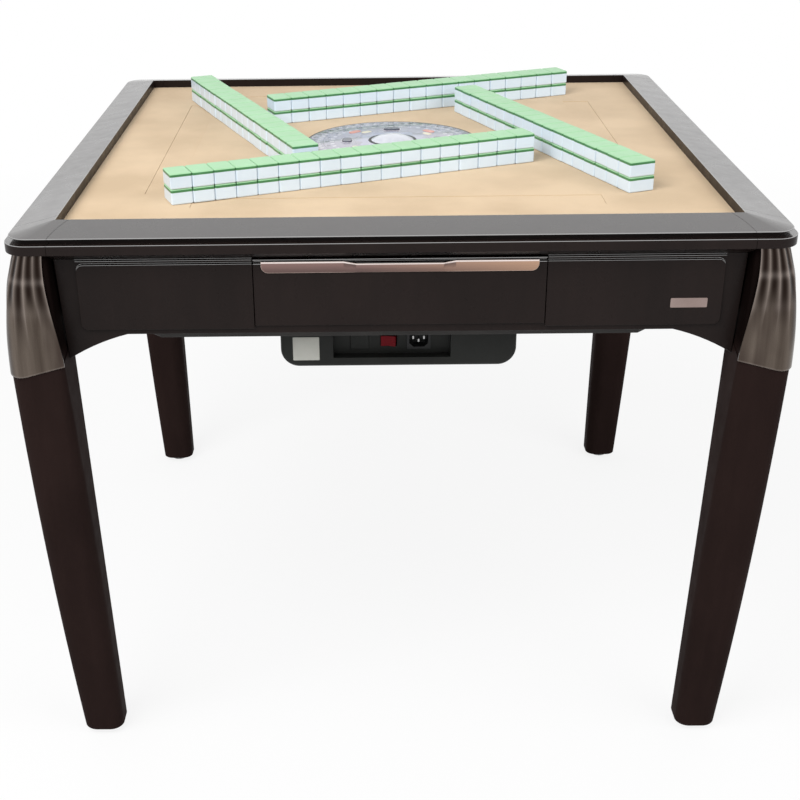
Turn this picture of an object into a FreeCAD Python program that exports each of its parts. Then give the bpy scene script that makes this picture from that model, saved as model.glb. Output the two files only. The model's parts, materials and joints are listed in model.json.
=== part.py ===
import FreeCAD
import Part
import Sketcher

import math
import os

# Four-player machine mahjong table: a framed felt field on four tapered legs, one drawer a side,
# a rising control disc, rising tile plates, a shuffling turntable and the set of tiles in four walls.
# Millimetres. Origin on the floor under the centre, +Z up, the side with the mains socket faces -Y.
# A "drop" is a depth below rim_top, and a "reach" is a distance out from the centre.

SIZES = {
    # rim: a sloping crown over a shadow groove, a ledge and a cove
    "rim_top": 755,
    "rim_width": 949.5,
    "rim_round": 30,
    "crown_width": 939.5,
    "crown_round": 26,
    "crown_fall": 8.5,
    "groove_drop": 10,
    "groove_width": 927.5,
    "ledge_drop": 15.7,
    "ledge_foot_drop": 28,
    "rim_drop": 40,
    "cove_width": 904,
    "field_width": 836,
    "field_round": 1,
    "seat_width": 804,
    "seam_inner_reach": 401,
    "seam_outer_reach": 420,
    "seam_bend": 160,
    "seam_gap": 0.5,
    # playing field
    "felt_drop": 13,
    "felt_thick": 2,
    "board_thick": 16,
    "field_gap": 0.3,
    "disc_hole_radius": 131,
    # rising tile plates, one a side
    "lift_reach": 312,
    "lift_length": 531,
    "lift_width": 41,
    "lift_gap": 0.3,
    "lift_sunk": 0.5,
    "lift_thick": 14,
    "sleeve_span": 200,
    "sleeve_radius": 8,
    "sleeve_foot_drop": 100,
    "guide_radius": 4,
    "guide_play": 0.06,
    "guide_top_drop": 76,
    # aprons
    "apron_reach": 450,
    "apron_thick": 18,
    "apron_drop": 138.2,
    "apron_end_top": 418.3,
    "apron_end_foot": 412.6,
    "ear_drop": 170.5,
    "ear_end": 411.2,
    "ear_bend": 260,
    "ear_inner": 336,
    "panel_rise": 4,
    "panel_end": 392,
    "panel_top_drop": 46.7,
    "panel_foot_drop": 131,
    "panel_round": 9,
    "bead_drop": 44.3,
    # drawers
    "drawer_width": 355,
    "drawer_gap": 0.8,
    "drawer_top_drop": 41.5,
    "drawer_foot_drop": 127.5,
    "drawer_thick": 18,
    "tray_width": 330,
    "tray_back_reach": 341,
    "tray_top_drop": 60,
    "tray_foot_drop": 124,
    "tray_wall": 9,
    "tray_floor": 5,
    "runner_drop": 89,
    "runner_height": 12,
    "runner_depth": 5,
    "runner_play": 0.4,
    "runner_back_reach": 343,
    "runner_foot": 26,
    "handle_width": 335,
    "handle_drop": 44.2,
    "handle_height": 14.2,
    "handle_thick": 2.2,
    "handle_round": 9,
    "lip_lean": 9,
    "lip_half": 52,
    "lip_run": 16,
    # legs: the shelled head has four stations and the shaft three
    "leg_top_drop": 28,
    "leg_top_inner": 420,
    "leg_top_outer": 468.3,
    "leg_shoulder_drop": 84,
    "leg_shoulder_inner": 416.8,
    "leg_shoulder_outer": 479.6,
    "leg_belly_drop": 140,
    "leg_belly_inner": 413.2,
    "leg_belly_outer": 484,
    "leg_knee_drop": 205,
    "leg_knee_inner": 410.6,
    "leg_knee_outer": 484.6,
    "leg_shin_drop": 400,
    "leg_shin_inner": 404,
    "leg_shin_outer": 474.6,
    "leg_foot_height": 9,
    "leg_foot_inner": 395.6,
    "leg_foot_outer": 451.2,
    "leg_round": 28,
    "leg_foot_round": 20,
    "leg_edge_round": 4,
    "leg_shin_edge_round": 20,
    "leg_foot_edge_round": 18,
    "cap_thick": 3,
    "cap_gap": 0.4,
    "cap_top_inner": 428,
    "cap_shoulder_inner": 424,
    "cap_belly_inner": 414,
    "cap_knee_inner": 411.8,
    "core_setback": 1.5,
    "pocket_gap": 1,
    "cap_drop": 187,
    "cap_slope": 21,
    "glide_radius": 15,
    "glide_stem_radius": 5,
    "glide_stem_height": 32,
    # corner brackets and leg bolts
    "bracket_reach": 383,
    "bracket_flange": 40,
    "bracket_sheet": 3,
    "bracket_top_drop": 62,
    "bracket_height": 66,
    "bolt_radius": 4,
    "bolt_play": 0.06,
    "bolt_length": 52,
    "bolt_head_radius": 6.5,
    "bolt_head_height": 5.3,
    "bolt_high_drop": 78,
    "bolt_low_drop": 112,
    # control disc
    "disc_radius": 130,
    "disc_lip": 1.2,
    "disc_edge_drop": 12,
    "disc_foot_drop": 36,
    "disc_seat_drop": 19,
    "ring_inner_drop": 9.2,
    "collar_radius": 35.7,
    "collar_drop": 8.8,
    "dome_radius": 31.6,
    "dome_rise": 8,
    "dome_shell": 2,
    "die_size": 11,
    "die_floor_drop": 31,
    "button_reach": 68,
    "button_long": 24,
    "button_wide": 13,
    "button_top_drop": 8.2,
    "button_foot_drop": 17,
    "button_gap": 0.4,
    "mast_radius": 16,
    "mast_bore": 12,
    "mast_foot_drop": 149,
    # shuffling well under the disc
    "well_radius": 258,
    "well_wall": 4,
    "well_top_drop": 64,
    "well_floor": 2.5,
    "column_radius": 30,
    "column_top_drop": 75,
    "table_radius": 241,
    "table_skirt": 6,
    "table_top_drop": 138,
    "table_foot_drop": 142,
    "skirt_foot_drop": 149,
    "hub_radius": 40,
    "hub_top_drop": 112,
    "wheel_radius": 20,
    "wheel_gap": 0.25,
    "wheel_top_drop": 143.5,
    "wheel_height": 6,
    "shaft_foot_drop": 170,
    "motor_radius": 32,
    "motor_foot_drop": 204,
    "shaft_hole_radius": 7,
    "gear_motor_inner": 263,
    "gear_motor_outer": 288,
    "gear_motor_half": 24,
    "gear_motor_height": 46,
    # bottom pan and the electrical box under it
    "pan_reach": 420,
    "pan_side": 300,
    "pan_drop": 155,
    "pan_rim_drop": 137,
    "pan_sheet": 2.5,
    "base_width": 304,
    "base_front_reach": 392,
    "base_back_reach": 150,
    "base_drop": 210,
    "base_wall": 3,
    "base_round": 6,
    "base_corner": 24,
    "flange_width": 324,
    "flange_front_reach": 404,
    "flange_back_reach": 140,
    "flange_cut": 12,
    "flange_thick": 5,
    "recess_left": -84,
    "recess_right": 67,
    "recess_top_drop": 160,
    "recess_foot_drop": 197,
    "recess_depth": 15,
    "blank_left": -62,
    "blank_size": 24,
    "blank_foot_drop": 191,
    "rocker_place": -12.25,
    "rocker_drop": 179.5,
    "rocker_length": 19.2,
    "rocker_height": 14.2,
    "rocker_gap": 0.75,
    "rocker_tilt": 8,
    "inlet_place": 26.5,
    "inlet_drop": 179.5,
    "inlet_width": 27,
    "inlet_height": 20,
    "inlet_flange": 2,
    "inlet_depth": 22,
    "socket_width": 24,
    "socket_height": 16.5,
    "socket_depth": 16,
    "socket_corner": 5,
    "pin_wide": 4,
    "pin_thick": 2,
    "pin_length": 10,
    "pin_span": 7,
    # tiles, two layers of eighteen in each wall
    "tile_length": 38,
    "tile_pitch": 29.2,
    "tile_gap": 0.3,
    "tile_thick": 20.5,
    "tile_edge": 1.1,
    "wall_angle": 22.1,
    "wall_reach": 184.4,
    "wall_shift": 132,
    "wheel_centre": 14.9,
}
TILES_IN_ROW = 18
TILE_LAYERS = 2
SIDES = ("front", "right", "back", "left")
CORNERS = ("front_left", "front_right", "back_right", "back_left")

doc = FreeCAD.newDocument("MahjongTable")
sheet = doc.addObject("Spreadsheet::Sheet", "Dims")
for row, (alias, value) in enumerate(SIZES.items(), start=1):
    sheet.set(f"A{row}", alias)
    sheet.set(f"B{row}", str(value))
    sheet.setAlias(f"B{row}", alias)
doc.recompute()


class Size:
    """A length with both its value and the formula that ties it to the sheet."""

    def __init__(self, value, text):
        self.value = value
        self.text = text

    def __add__(self, other):
        other = size(other)
        return Size(self.value + other.value, f"({self.text} + {other.text})")

    def __sub__(self, other):
        other = size(other)
        return Size(self.value - other.value, f"({self.text} - {other.text})")

    def __mul__(self, factor):
        return Size(self.value * factor, f"({self.text} * {factor})")

    def __truediv__(self, divisor):
        return Size(self.value / divisor, f"({self.text} / {divisor})")

    def __neg__(self):
        return Size(-self.value, f"(0 - {self.text})")


def size(amount):
    if isinstance(amount, Size):
        return amount
    return Size(amount, f"({amount})")


def dim(alias):
    return Size(SIZES[alias], f"Dims.{alias}")


def level(alias):
    """Height above the floor of a drop below the rim's top."""
    return dim("rim_top") - dim(alias)


def bind(item, prop, amount):
    item.setExpression(prop, size(amount).text)


# Basic solids

def box(name, low, high):
    item = doc.addObject("Part::Box", name)
    for axis, span, start, end in zip("xyz", ("Length", "Width", "Height"), low, high):
        bind(item, span, size(end) - start)
        bind(item, f"Placement.Base.{axis}", start)
    return item


def cylinder(name, radius, centre, low, high):
    item = doc.addObject("Part::Cylinder", name)
    bind(item, "Radius", radius)
    bind(item, "Height", size(high) - low)
    for axis, start in zip("xyz", (centre[0], centre[1], low)):
        bind(item, f"Placement.Base.{axis}", start)
    return item


def fuse(name, *pieces):
    item = doc.addObject("Part::MultiFuse", name)
    item.Shapes = list(pieces)
    item.Refine = True
    return item


def cut(name, base, *tools):
    item = doc.addObject("Part::Cut", name)
    item.Base = base
    item.Tool = tools[0] if len(tools) == 1 else fuse(f"{name}_tools", *tools)
    item.Refine = True
    return item


def common(name, base, tool):
    item = doc.addObject("Part::Common", name)
    item.Base = base
    item.Tool = tool
    item.Refine = True
    return item


def group(name, *pieces):
    item = doc.addObject("Part::Compound", name)
    item.Links = list(pieces)
    return item


def turned(name, source, quarter_turns):
    """A copy of one side or corner, turned about the table's axis."""
    item = group(name, source)
    item.Placement.Rotation = FreeCAD.Rotation(FreeCAD.Vector(0, 0, 1), 90 * quarter_turns)
    return item


def mirrored(name, source):
    item = doc.addObject("Part::Mirroring", name)
    item.Source = source
    item.Normal = FreeCAD.Vector(1, 0, 0)
    return item


def four_of(source, names):
    """The front or front left one and its three turned copies."""
    return [source] + [turned(name, source, turns) for turns, name in enumerate(names) if turns]


def at_corners(source, stem):
    """Four copies of a piece modelled at the back right corner, one a corner."""
    return [turned(f"{stem}_{corner}", source, turns) for turns, corner in enumerate(CORNERS, start=2)]


# Sketched solids

def new_sketch(body, plane, offset, name):
    sketch = body.newObject("Sketcher::SketchObject", name)
    origin_plane = next(item for item in body.Origin.OriginFeatures if item.Role == plane)
    sketch.AttachmentSupport = (origin_plane, "")
    sketch.MapMode = "FlatFace"
    bind(sketch, "AttachmentOffset.Base.z", offset)
    return sketch


def fix_point(sketch, edge, end, point):
    for kind, amount in zip(("DistanceX", "DistanceY"), point):
        amount = size(amount)
        index = sketch.addConstraint(Sketcher.Constraint(kind, edge, end, amount.value))
        sketch.setExpression(f"Constraints[{index}]", amount.text)


def arc_between(start, end, radius):
    """Arc to the left of the chord for a positive radius, and to its right for a negative one."""
    chord = end - start
    half = chord.Length / 2
    side = FreeCAD.Vector(-chord.y, chord.x, 0).normalize()
    sagitta = abs(radius) - math.sqrt(radius * radius - half * half)
    middle = (start + end) / 2 + side * math.copysign(sagitta, radius)
    return Part.Arc(start, middle, end)


def outline(sketch, corners, bends=None):
    """Closed outline through the corners; bends gives the radius of the sides that are arcs."""
    bends = bends or {}
    points = [FreeCAD.Vector(size(x).value, size(y).value, 0) for x, y in corners]
    count = len(points)
    starts = []
    for index, point in enumerate(points):
        following = points[(index + 1) % count]
        if index in bends:
            edge = sketch.addGeometry(arc_between(point, following, size(bends[index]).value))
            forward = bends[index].value < 0
        else:
            edge = sketch.addGeometry(Part.LineSegment(point, following))
            forward = True
        starts.append((edge, 1 if forward else 2, 2 if forward else 1))
    for index, corner in enumerate(corners):
        edge, first, last = starts[index]
        previous, _, previous_last = starts[index - 1]
        sketch.addConstraint(Sketcher.Constraint("Coincident", previous, previous_last, edge, first))
        fix_point(sketch, edge, first, corner)
    for index, radius in bends.items():
        amount = size(abs(radius.value))
        number = sketch.addConstraint(Sketcher.Constraint("Radius", starts[index][0], amount.value))
        sketch.setExpression(f"Constraints[{number}]", radius.text if radius.value > 0 else (-radius).text)


def rounded_square(sketch, low, high, far_round, near_round):
    """Square from low to high on both axes, with far_round at its outer corner and near_round at the rest."""
    low, high = size(low), size(high)
    rounds = (size(near_round), size(near_round), size(far_round), size(near_round))
    corner = ((low, low), (high, low), (high, high), (low, high))
    inward = ((1, 1), (-1, 1), (-1, -1), (1, -1))
    centres = [
        FreeCAD.Vector(x.value + sx * r.value, y.value + sy * r.value, 0)
        for (x, y), (sx, sy), r in zip(corner, inward, rounds)
    ]
    first_angle = (math.pi, 1.5 * math.pi, 0, 0.5 * math.pi)
    arcs = []
    for centre, angle, r in zip(centres, first_angle, rounds):
        circle = Part.Circle(centre, FreeCAD.Vector(0, 0, 1), r.value)
        arcs.append(sketch.addGeometry(Part.ArcOfCircle(circle, angle, angle + math.pi / 2)))
    for index, arc in enumerate(arcs):
        following = arcs[(index + 1) % 4]
        start = sketch.getPoint(arc, 2)
        end = sketch.getPoint(following, 1)
        side = sketch.addGeometry(Part.LineSegment(start, end))
        sketch.addConstraint(Sketcher.Constraint("Tangent", arc, 2, side, 1))
        sketch.addConstraint(Sketcher.Constraint("Tangent", side, 2, following, 1))
        sketch.addConstraint(Sketcher.Constraint("Vertical" if index % 2 else "Horizontal", side))
        number = sketch.addConstraint(Sketcher.Constraint("Radius", arc, rounds[index].value))
        sketch.setExpression(f"Constraints[{number}]", rounds[index].text)
        across = "DistanceX" if index % 2 else "DistanceY"
        place = (low, high, high, low)[index]
        number = sketch.addConstraint(Sketcher.Constraint(across, side, 1, place.value))
        sketch.setExpression(f"Constraints[{number}]", place.text)


def padded(name, plane, corners, low, high, bends=None):
    """Outline on an origin plane, raised from low to high along that plane's normal (-Y for XZ)."""
    body = doc.addObject("PartDesign::Body", name)
    sketch = new_sketch(body, plane, low, f"{name}_outline")
    outline(sketch, corners, bends)
    pad = body.newObject("PartDesign::Pad", f"{name}_pad")
    pad.Profile = sketch
    bind(pad, "Length", size(high) - low)
    return body


def square_pad(name, half, far_round, low, high):
    """Upright block on a square centred on the axis, with all four corners rounded alike."""
    body = doc.addObject("PartDesign::Body", name)
    sketch = new_sketch(body, "XY_Plane", low, f"{name}_outline")
    rounded_square(sketch, -half, half, far_round, far_round)
    pad = body.newObject("PartDesign::Pad", f"{name}_pad")
    pad.Profile = sketch
    bind(pad, "Length", size(high) - low)
    return body


def lofted(name, stations, ruled):
    """Solid through square stations: (height, low, high, far_round, near_round)."""
    body = doc.addObject("PartDesign::Body", name)
    sketches = []
    for number, (height, low, high, far_round, near_round) in enumerate(stations):
        sketch = new_sketch(body, "XY_Plane", height, f"{name}_station_{number}")
        rounded_square(sketch, low, high, far_round, near_round)
        sketches.append(sketch)
    doc.recompute()
    loft = body.newObject("PartDesign::AdditiveLoft", f"{name}_loft")
    loft.Profile = sketches[0]
    loft.Sections = sketches[1:]
    loft.Ruled = ruled
    return body


def revolved(name, corners, bends=None):
    """Solid of revolution about the table's axis: corners are (radius, height)."""
    body = doc.addObject("PartDesign::Body", name)
    sketch = new_sketch(body, "XZ_Plane", 0, f"{name}_profile")
    outline(sketch, corners, bends)
    turn = body.newObject("PartDesign::Revolution", f"{name}_turn")
    turn.Profile = sketch
    turn.ReferenceAxis = (sketch, ["V_Axis"])
    turn.Angle = 360
    return body


def rounded_edges(body, radius, chosen):
    """Round the body's edges that chosen(edge) picks."""
    doc.recompute()
    names = [f"Edge{i}" for i, edge in enumerate(body.Tip.Shape.Edges, start=1) if chosen(edge)]
    base = body.Tip
    fillet = body.newObject("PartDesign::Fillet", f"{body.Name}_round")
    fillet.Base = (base, names)
    bind(fillet, "Radius", radius)
    return body


# Rim: one ring of layers, parted at curved seams into four rails and four corners

def make_rim():
    half = {name: dim(name) / 2 for name in SIZES if name.endswith("_width")}
    crown_foot = dim("rim_top") - dim("crown_fall")
    crown = lofted("rim_crown", [
        (crown_foot, -half["crown_width"], half["crown_width"], dim("crown_round"), dim("crown_round")),
        (dim("rim_top"), -half["field_width"], half["field_width"], dim("field_round"), dim("field_round")),
    ], ruled=True)
    slab = square_pad("rim_slab", half["crown_width"], dim("crown_round"), level("groove_drop"), crown_foot)
    neck = square_pad("rim_neck", half["groove_width"], dim("crown_round"),
                      level("ledge_drop"), level("groove_drop"))
    ledge = square_pad("rim_ledge", half["rim_width"], dim("rim_round"),
                       level("ledge_foot_drop"), level("ledge_drop"))
    cove = lofted("rim_cove", [
        (level("rim_drop"), -half["cove_width"], half["cove_width"], dim("field_round"), dim("field_round")),
        (level("ledge_foot_drop"), -half["rim_width"], half["rim_width"], dim("rim_round"), dim("rim_round")),
    ], ruled=True)
    well = half["field_width"]
    seat = half["seat_width"]
    board_foot = level("felt_drop") - dim("felt_thick") - dim("board_thick")
    field_opening = box("rim_opening", (-well, -well, board_foot), (well, well, dim("rim_top")))
    seat_opening = box("rim_seat_opening", (-seat, -seat, level("rim_drop")), (seat, seat, board_foot))
    near = dim("leg_top_inner") - dim("pocket_gap")
    far = half["rim_width"]
    pocket = box("leg_pocket", (near, near, level("rim_drop")), (far, far, level("leg_top_drop")))
    pockets = four_of(pocket, [f"leg_pocket_{corner}" for corner in CORNERS])
    layers = fuse("rim_layers", crown, slab, neck, ledge, cove)
    ring = cut("rim_ring", layers, field_opening, seat_opening, *pockets)

    def corner_block(name, gap):
        inner = dim("seam_inner_reach") - gap
        outer = dim("seam_outer_reach") - gap
        edge = half["field_width"]
        past = half["rim_width"]
        root = half["seat_width"] - dim("rim_round")
        corners = [
            (-inner, -edge), (-root, -root), (-edge, -inner), (-past, -outer), (-past, -past), (-outer, -past),
        ]
        bend = dim("seam_bend")
        return padded(name, "XY_Plane", corners, level("rim_drop"), dim("rim_top"), {2: bend, 5: bend})

    block = corner_block("rim_corner_block", size(0))
    kerf = corner_block("rim_corner_kerf", dim("seam_gap"))
    first_corner = common("rim_corner_front_left", ring, block)
    corners = four_of(first_corner, [f"rim_corner_{corner}" for corner in CORNERS])
    group("rim_corners", *corners)
    kerfs = four_of(kerf, [f"rim_kerf_{corner}" for corner in CORNERS])
    parted = cut("rim_parted", ring, *kerfs)
    past = half["rim_width"]
    wedge = padded("rim_front_wedge", "XY_Plane", [(0, 0), (-past, -past), (past, -past)],
                   level("rim_drop"), dim("rim_top"))
    front = common("rim_rail_front", parted, wedge)
    four_of(front, [f"rim_rail_{side}" for side in SIDES])


# Playing field: board and felt, with the disc's hole and four tile slots

def make_field():
    edge = dim("field_width") / 2 - dim("field_gap")
    felt_top = level("felt_drop")
    felt_foot = felt_top - dim("felt_thick")
    board_foot = felt_foot - dim("board_thick")
    slot_half = dim("lift_length") / 2 + dim("lift_gap")
    slot_wide = dim("lift_width") / 2 + dim("lift_gap")
    reach = dim("lift_reach")
    slot = box("tile_slot", (-slot_half, -reach - slot_wide, board_foot),
               (slot_half, slot_wide - reach, felt_top))
    slots = four_of(slot, [f"tile_slot_{side}" for side in SIDES])
    hole = cylinder("disc_hole", dim("disc_hole_radius"), (0, 0), board_foot, felt_top)
    openings = fuse("field_openings", hole, *slots)
    cut("field_board", box("board_blank", (-edge, -edge, board_foot), (edge, edge, felt_foot)), openings)
    cut("field_felt", box("felt_blank", (-edge, -edge, felt_foot), (edge, edge, felt_top)), openings)


# Rising tile plates on sleeves, their guide rods and gear motors

def make_lifts():
    half = dim("lift_length") / 2
    wide = dim("lift_width") / 2
    reach = dim("lift_reach")
    top = level("felt_drop") - dim("lift_sunk")
    foot = top - dim("lift_thick")
    pan_floor = level("pan_drop") + dim("pan_sheet")
    plate = box("lift_plate", (-half, -reach - wide, foot), (half, wide - reach, top))
    sleeves, bores, rods = [], [], []
    for hand in (-1, 1):
        centre = (dim("sleeve_span") * hand, -reach)
        sleeves.append(cylinder("lift_sleeve", dim("sleeve_radius"), centre, level("sleeve_foot_drop"), foot))
        bore_radius = dim("guide_radius") + dim("guide_play")
        bores.append(cylinder("lift_bore", bore_radius, centre, level("sleeve_foot_drop"), foot))
        rods.append(cylinder("guide_rod", dim("guide_radius"), centre, pan_floor, level("guide_top_drop")))
    front = cut("tile_lift_front", fuse("lift_blank", plate, *sleeves), *bores)
    four_of(front, [f"tile_lift_{side}" for side in SIDES])
    rod_pair = group("guide_pair", *rods)
    group("lift_guides", *four_of(rod_pair, [f"guide_pair_{side}" for side in SIDES]))

    motor_half = dim("gear_motor_half")
    motor = box("gear_motor_front", (-motor_half, -dim("gear_motor_outer"), pan_floor),
                (motor_half, -dim("gear_motor_inner"), pan_floor + dim("gear_motor_height")))
    group("lift_motors", *four_of(motor, [f"gear_motor_{side}" for side in SIDES]))


# Aprons: shaped boards with a notch for the drawer, raised panels and a bead

def make_aprons():
    face = dim("apron_reach")
    back = face - dim("apron_thick")
    top = level("rim_drop")
    foot = level("apron_drop")
    end_top, end_foot = dim("apron_end_top"), dim("apron_end_foot")
    ear_end, ear_foot, ear_inner = dim("ear_end"), level("ear_drop"), dim("ear_inner")
    notch_half = dim("drawer_width") / 2 + dim("drawer_gap")
    notch_foot = level("drawer_foot_drop") - dim("drawer_gap")
    corners = [
        (-end_top, top), (-end_foot, foot), (-ear_end, ear_foot), (-ear_inner, foot),
        (ear_inner, foot), (ear_end, ear_foot), (end_foot, foot), (end_top, top),
        (notch_half, top), (notch_half, notch_foot), (-notch_half, notch_foot), (-notch_half, top),
    ]
    bend = dim("ear_bend")
    board = padded("apron_board", "XZ_Plane", corners, back, face, {2: bend, 4: bend})

    def raised(name, far, low, high, rise):
        corner_list = [(far, low), (notch_half, low), (notch_half, high), (far, high)]
        return padded(name, "XZ_Plane", corner_list, face, face + rise)

    end = dim("panel_end")
    panel = raised("apron_panel", end, level("panel_foot_drop"), level("panel_top_drop"), dim("panel_rise"))
    rounded_edges(panel, dim("panel_round"), lambda edge: abs(edge.tangentAt(0).y) > 0.9
                  and all(abs(vertex.X - end.value) < 0.01 for vertex in edge.Vertexes))
    bead = raised("apron_bead", end, level("bead_drop"), level("drawer_top_drop"), dim("panel_rise"))
    front = fuse("apron_front", board, panel, mirrored("apron_panel_left", panel),
                 bead, mirrored("apron_bead_left", bead))
    four_of(front, [f"apron_{side}" for side in SIDES])


# Drawers: front board, tray, pull strip and side runners

def make_drawers():
    face = dim("apron_reach") + dim("panel_rise")
    back = face - dim("drawer_thick")
    half = dim("drawer_width") / 2
    blank = box("drawer_board", (-half, -face, level("drawer_foot_drop")),
                (half, -back, level("drawer_top_drop")))
    groove = box("drawer_groove", (-half, -face, level("panel_top_drop")),
                 (half, -dim("apron_reach"), level("bead_drop")))
    four_of(cut("drawer_front_front", blank, groove), [f"drawer_front_{side}" for side in SIDES])

    tray_half = dim("tray_width") / 2
    wall = dim("tray_wall")
    tray_back = dim("tray_back_reach")
    foot, top = level("tray_foot_drop"), level("tray_top_drop")
    blank = box("tray_blank", (-tray_half, -back, foot), (tray_half, -tray_back, top))
    inside = box("tray_inside", (wall - tray_half, -back, foot + dim("tray_floor")),
                 (tray_half - wall, -tray_back - wall, top))
    runner_top = level("runner_drop")
    runner_foot = runner_top - dim("runner_height")
    play = dim("runner_play")
    groove_face = tray_half - dim("runner_depth")
    groove = box("tray_groove", (groove_face, -back, runner_foot - play),
                 (tray_half, -tray_back, runner_top + play))
    tray = cut("drawer_box_front", blank, inside, groove, mirrored("tray_groove_left", groove))
    four_of(tray, [f"drawer_box_{side}" for side in SIDES])

    near = groove_face + play
    flank = tray_half + dim("runner_depth")
    seat = dim("apron_reach") - dim("apron_thick")
    heel = dim("bracket_sheet") * 2
    foot_end = flank + dim("runner_foot")
    bar_back = dim("runner_back_reach")
    runner = padded("runner_right", "XY_Plane", [
        (near, -bar_back), (near, -seat), (foot_end, -seat),
        (foot_end, heel - seat), (flank, heel - seat), (flank, -bar_back),
    ], runner_foot, runner_top)
    pair = group("runner_pair", runner, mirrored("runner_left", runner))
    group("drawer_runners", *four_of(pair, [f"runner_pair_{side}" for side in SIDES]))
    make_handles(face)


def make_handles(face):
    """Pull strip: flat on the drawer at its ends, its middle third leaning out for the fingers."""
    half = dim("handle_width") / 2
    top = level("handle_drop")
    foot = top - dim("handle_height")
    thick = dim("handle_thick")
    lip, run, lean = dim("lip_half"), dim("lip_run"), dim("lip_lean")
    stations = [(-half, 0), (-lip - run, 0), (-lip, 1), (lip, 1), (lip + run, 0), (half, 0)]
    body = doc.addObject("PartDesign::Body", "handle_strip")
    sketches = []
    for number, (place, leaning) in enumerate(stations):
        sketch = new_sketch(body, "YZ_Plane", place, f"handle_station_{number}")
        out = lean * leaning
        outline(sketch, [(-face, foot), (-face - out, top), (-face - out - thick, top), (-face - thick, foot)])
        sketches.append(sketch)
    doc.recompute()
    loft = body.newObject("PartDesign::AdditiveLoft", "handle_loft")
    loft.Profile = sketches[0]
    loft.Sections = sketches[1:]
    loft.Ruled = True
    blank = padded("handle_outline", "XZ_Plane", [(-half, foot), (half, foot), (half, top), (-half, top)],
                   face, face + lean + thick + 1)
    rounded_edges(blank, dim("handle_round"), lambda edge: abs(edge.tangentAt(0).y) > 0.9
                  and all(abs(vertex.Z - foot.value) < 0.01 for vertex in edge.Vertexes))
    front = common("drawer_handle_front", body, blank)
    four_of(front, [f"drawer_handle_{side}" for side in SIDES])


# Legs: tapered posts with a bright shell over the outer corner, on screw-in glides

def leg_form(name, stations, inner_shift=size(0), outer_shift=size(0), inner_edge="leg"):
    """Loft through the leg's named stations, its inner and outer faces moved out by the given shifts."""
    heights = {"foot": dim("leg_foot_height")}
    rounds = {"foot": dim("leg_foot_round")}
    edge_rounds = {"shin": dim("leg_shin_edge_round"), "foot": dim("leg_foot_edge_round")}
    rows = []
    for station in stations:
        height = heights[station] if station in heights else level(f"leg_{station}_drop")
        low = dim(f"{inner_edge}_{station}_inner") + inner_shift
        high = dim(f"leg_{station}_outer") + outer_shift
        far_round = rounds.get(station, dim("leg_round")) + outer_shift
        near_round = edge_rounds.get(station, dim("leg_edge_round"))
        rows.append((height, low, high, far_round, near_round))
    return lofted(name, rows, ruled=False)


def make_legs():
    head = ("top", "shoulder", "belly", "knee")
    shell = dim("cap_thick")
    shaft = leg_form("leg_shaft", ("belly", "shin", "foot"))
    core = leg_form("leg_core", head, dim("core_setback"), -shell - dim("cap_gap"))
    cover = leg_form("cap_cover", head, inner_edge="cap")
    hollow = leg_form("cap_hollow", head, -shell * 4, -shell)

    zone = cap_zone()
    lower = cut("leg_lower", shaft, zone)
    upper = common("leg_upper", core, zone)

    foot_centre = (dim("leg_foot_inner") + dim("leg_foot_outer")) / 2
    stem_bore = cylinder("glide_bore", dim("glide_stem_radius") + dim("bolt_play"), (foot_centre, foot_centre),
                         dim("leg_foot_height"), dim("glide_stem_height"))
    bores = [bolt_bore(f"bolt_bore_{name}", name) for name in ("high", "low")]
    leg = cut("leg_blank", fuse("leg_wood", lower, upper), stem_bore, *bores)
    at_corners(leg, "leg")

    cap = cut("leg_cap", common("cap_blank", cover, zone), hollow)
    group("leg_caps", *at_corners(cap, "leg_cap"))

    pad = cylinder("glide_pad", dim("glide_radius"), (foot_centre, foot_centre), 0, dim("leg_foot_height"))
    stem = cylinder("glide_stem", dim("glide_stem_radius"), (foot_centre, foot_centre),
                    dim("leg_foot_height"), dim("glide_stem_height") - dim("bolt_play"))
    glide = fuse("glide", pad, stem)
    group("levelling_feet", *at_corners(glide, "glide"))


def cap_zone():
    """Block above the shell's lower edge, tipped so that the edge is lowest at the leg's outer corner."""
    zone = doc.addObject("Part::Box", "cap_zone")
    bind(zone, "Length", dim("leg_belly_outer") * 2)
    bind(zone, "Width", dim("leg_belly_outer") * 2)
    bind(zone, "Height", dim("rim_drop") * 8)
    reach = SIZES["leg_belly_outer"]
    corner = FreeCAD.Vector(reach, reach, level("cap_drop").value)
    tip = FreeCAD.Rotation(FreeCAD.Vector(1, -1, 0), -SIZES["cap_slope"])
    start = FreeCAD.Vector(-1.2 * reach, -1.2 * reach, 0)
    zone.Placement = FreeCAD.Placement(corner + tip.multVec(start), tip)
    return zone


# Corner brackets that hold the legs, and their bolts

def diagonal_placement(reach, height):
    """Place for a cylinder that points out along the diagonal, starting at that reach on both axes."""
    outward = FreeCAD.Rotation(FreeCAD.Vector(0, 0, 1), FreeCAD.Vector(1, 1, 0))
    return FreeCAD.Placement(FreeCAD.Vector(reach, reach, height), outward)


def bracket_middle():
    """Reach, on both axes, of the middle of the bracket's diagonal web."""
    seat = SIZES["apron_reach"] - SIZES["apron_thick"]
    return (seat + SIZES["bracket_reach"]) / 2


def bolt_bore(name, place):
    bore = doc.addObject("Part::Cylinder", name)
    bind(bore, "Radius", dim("bolt_radius") + dim("bolt_play"))
    bind(bore, "Height", dim("bolt_length") + dim("bolt_play"))
    reach = bracket_middle() - SIZES["bracket_sheet"]
    bore.Placement = diagonal_placement(reach, level(f"bolt_{place}_drop").value)
    return bore


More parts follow.
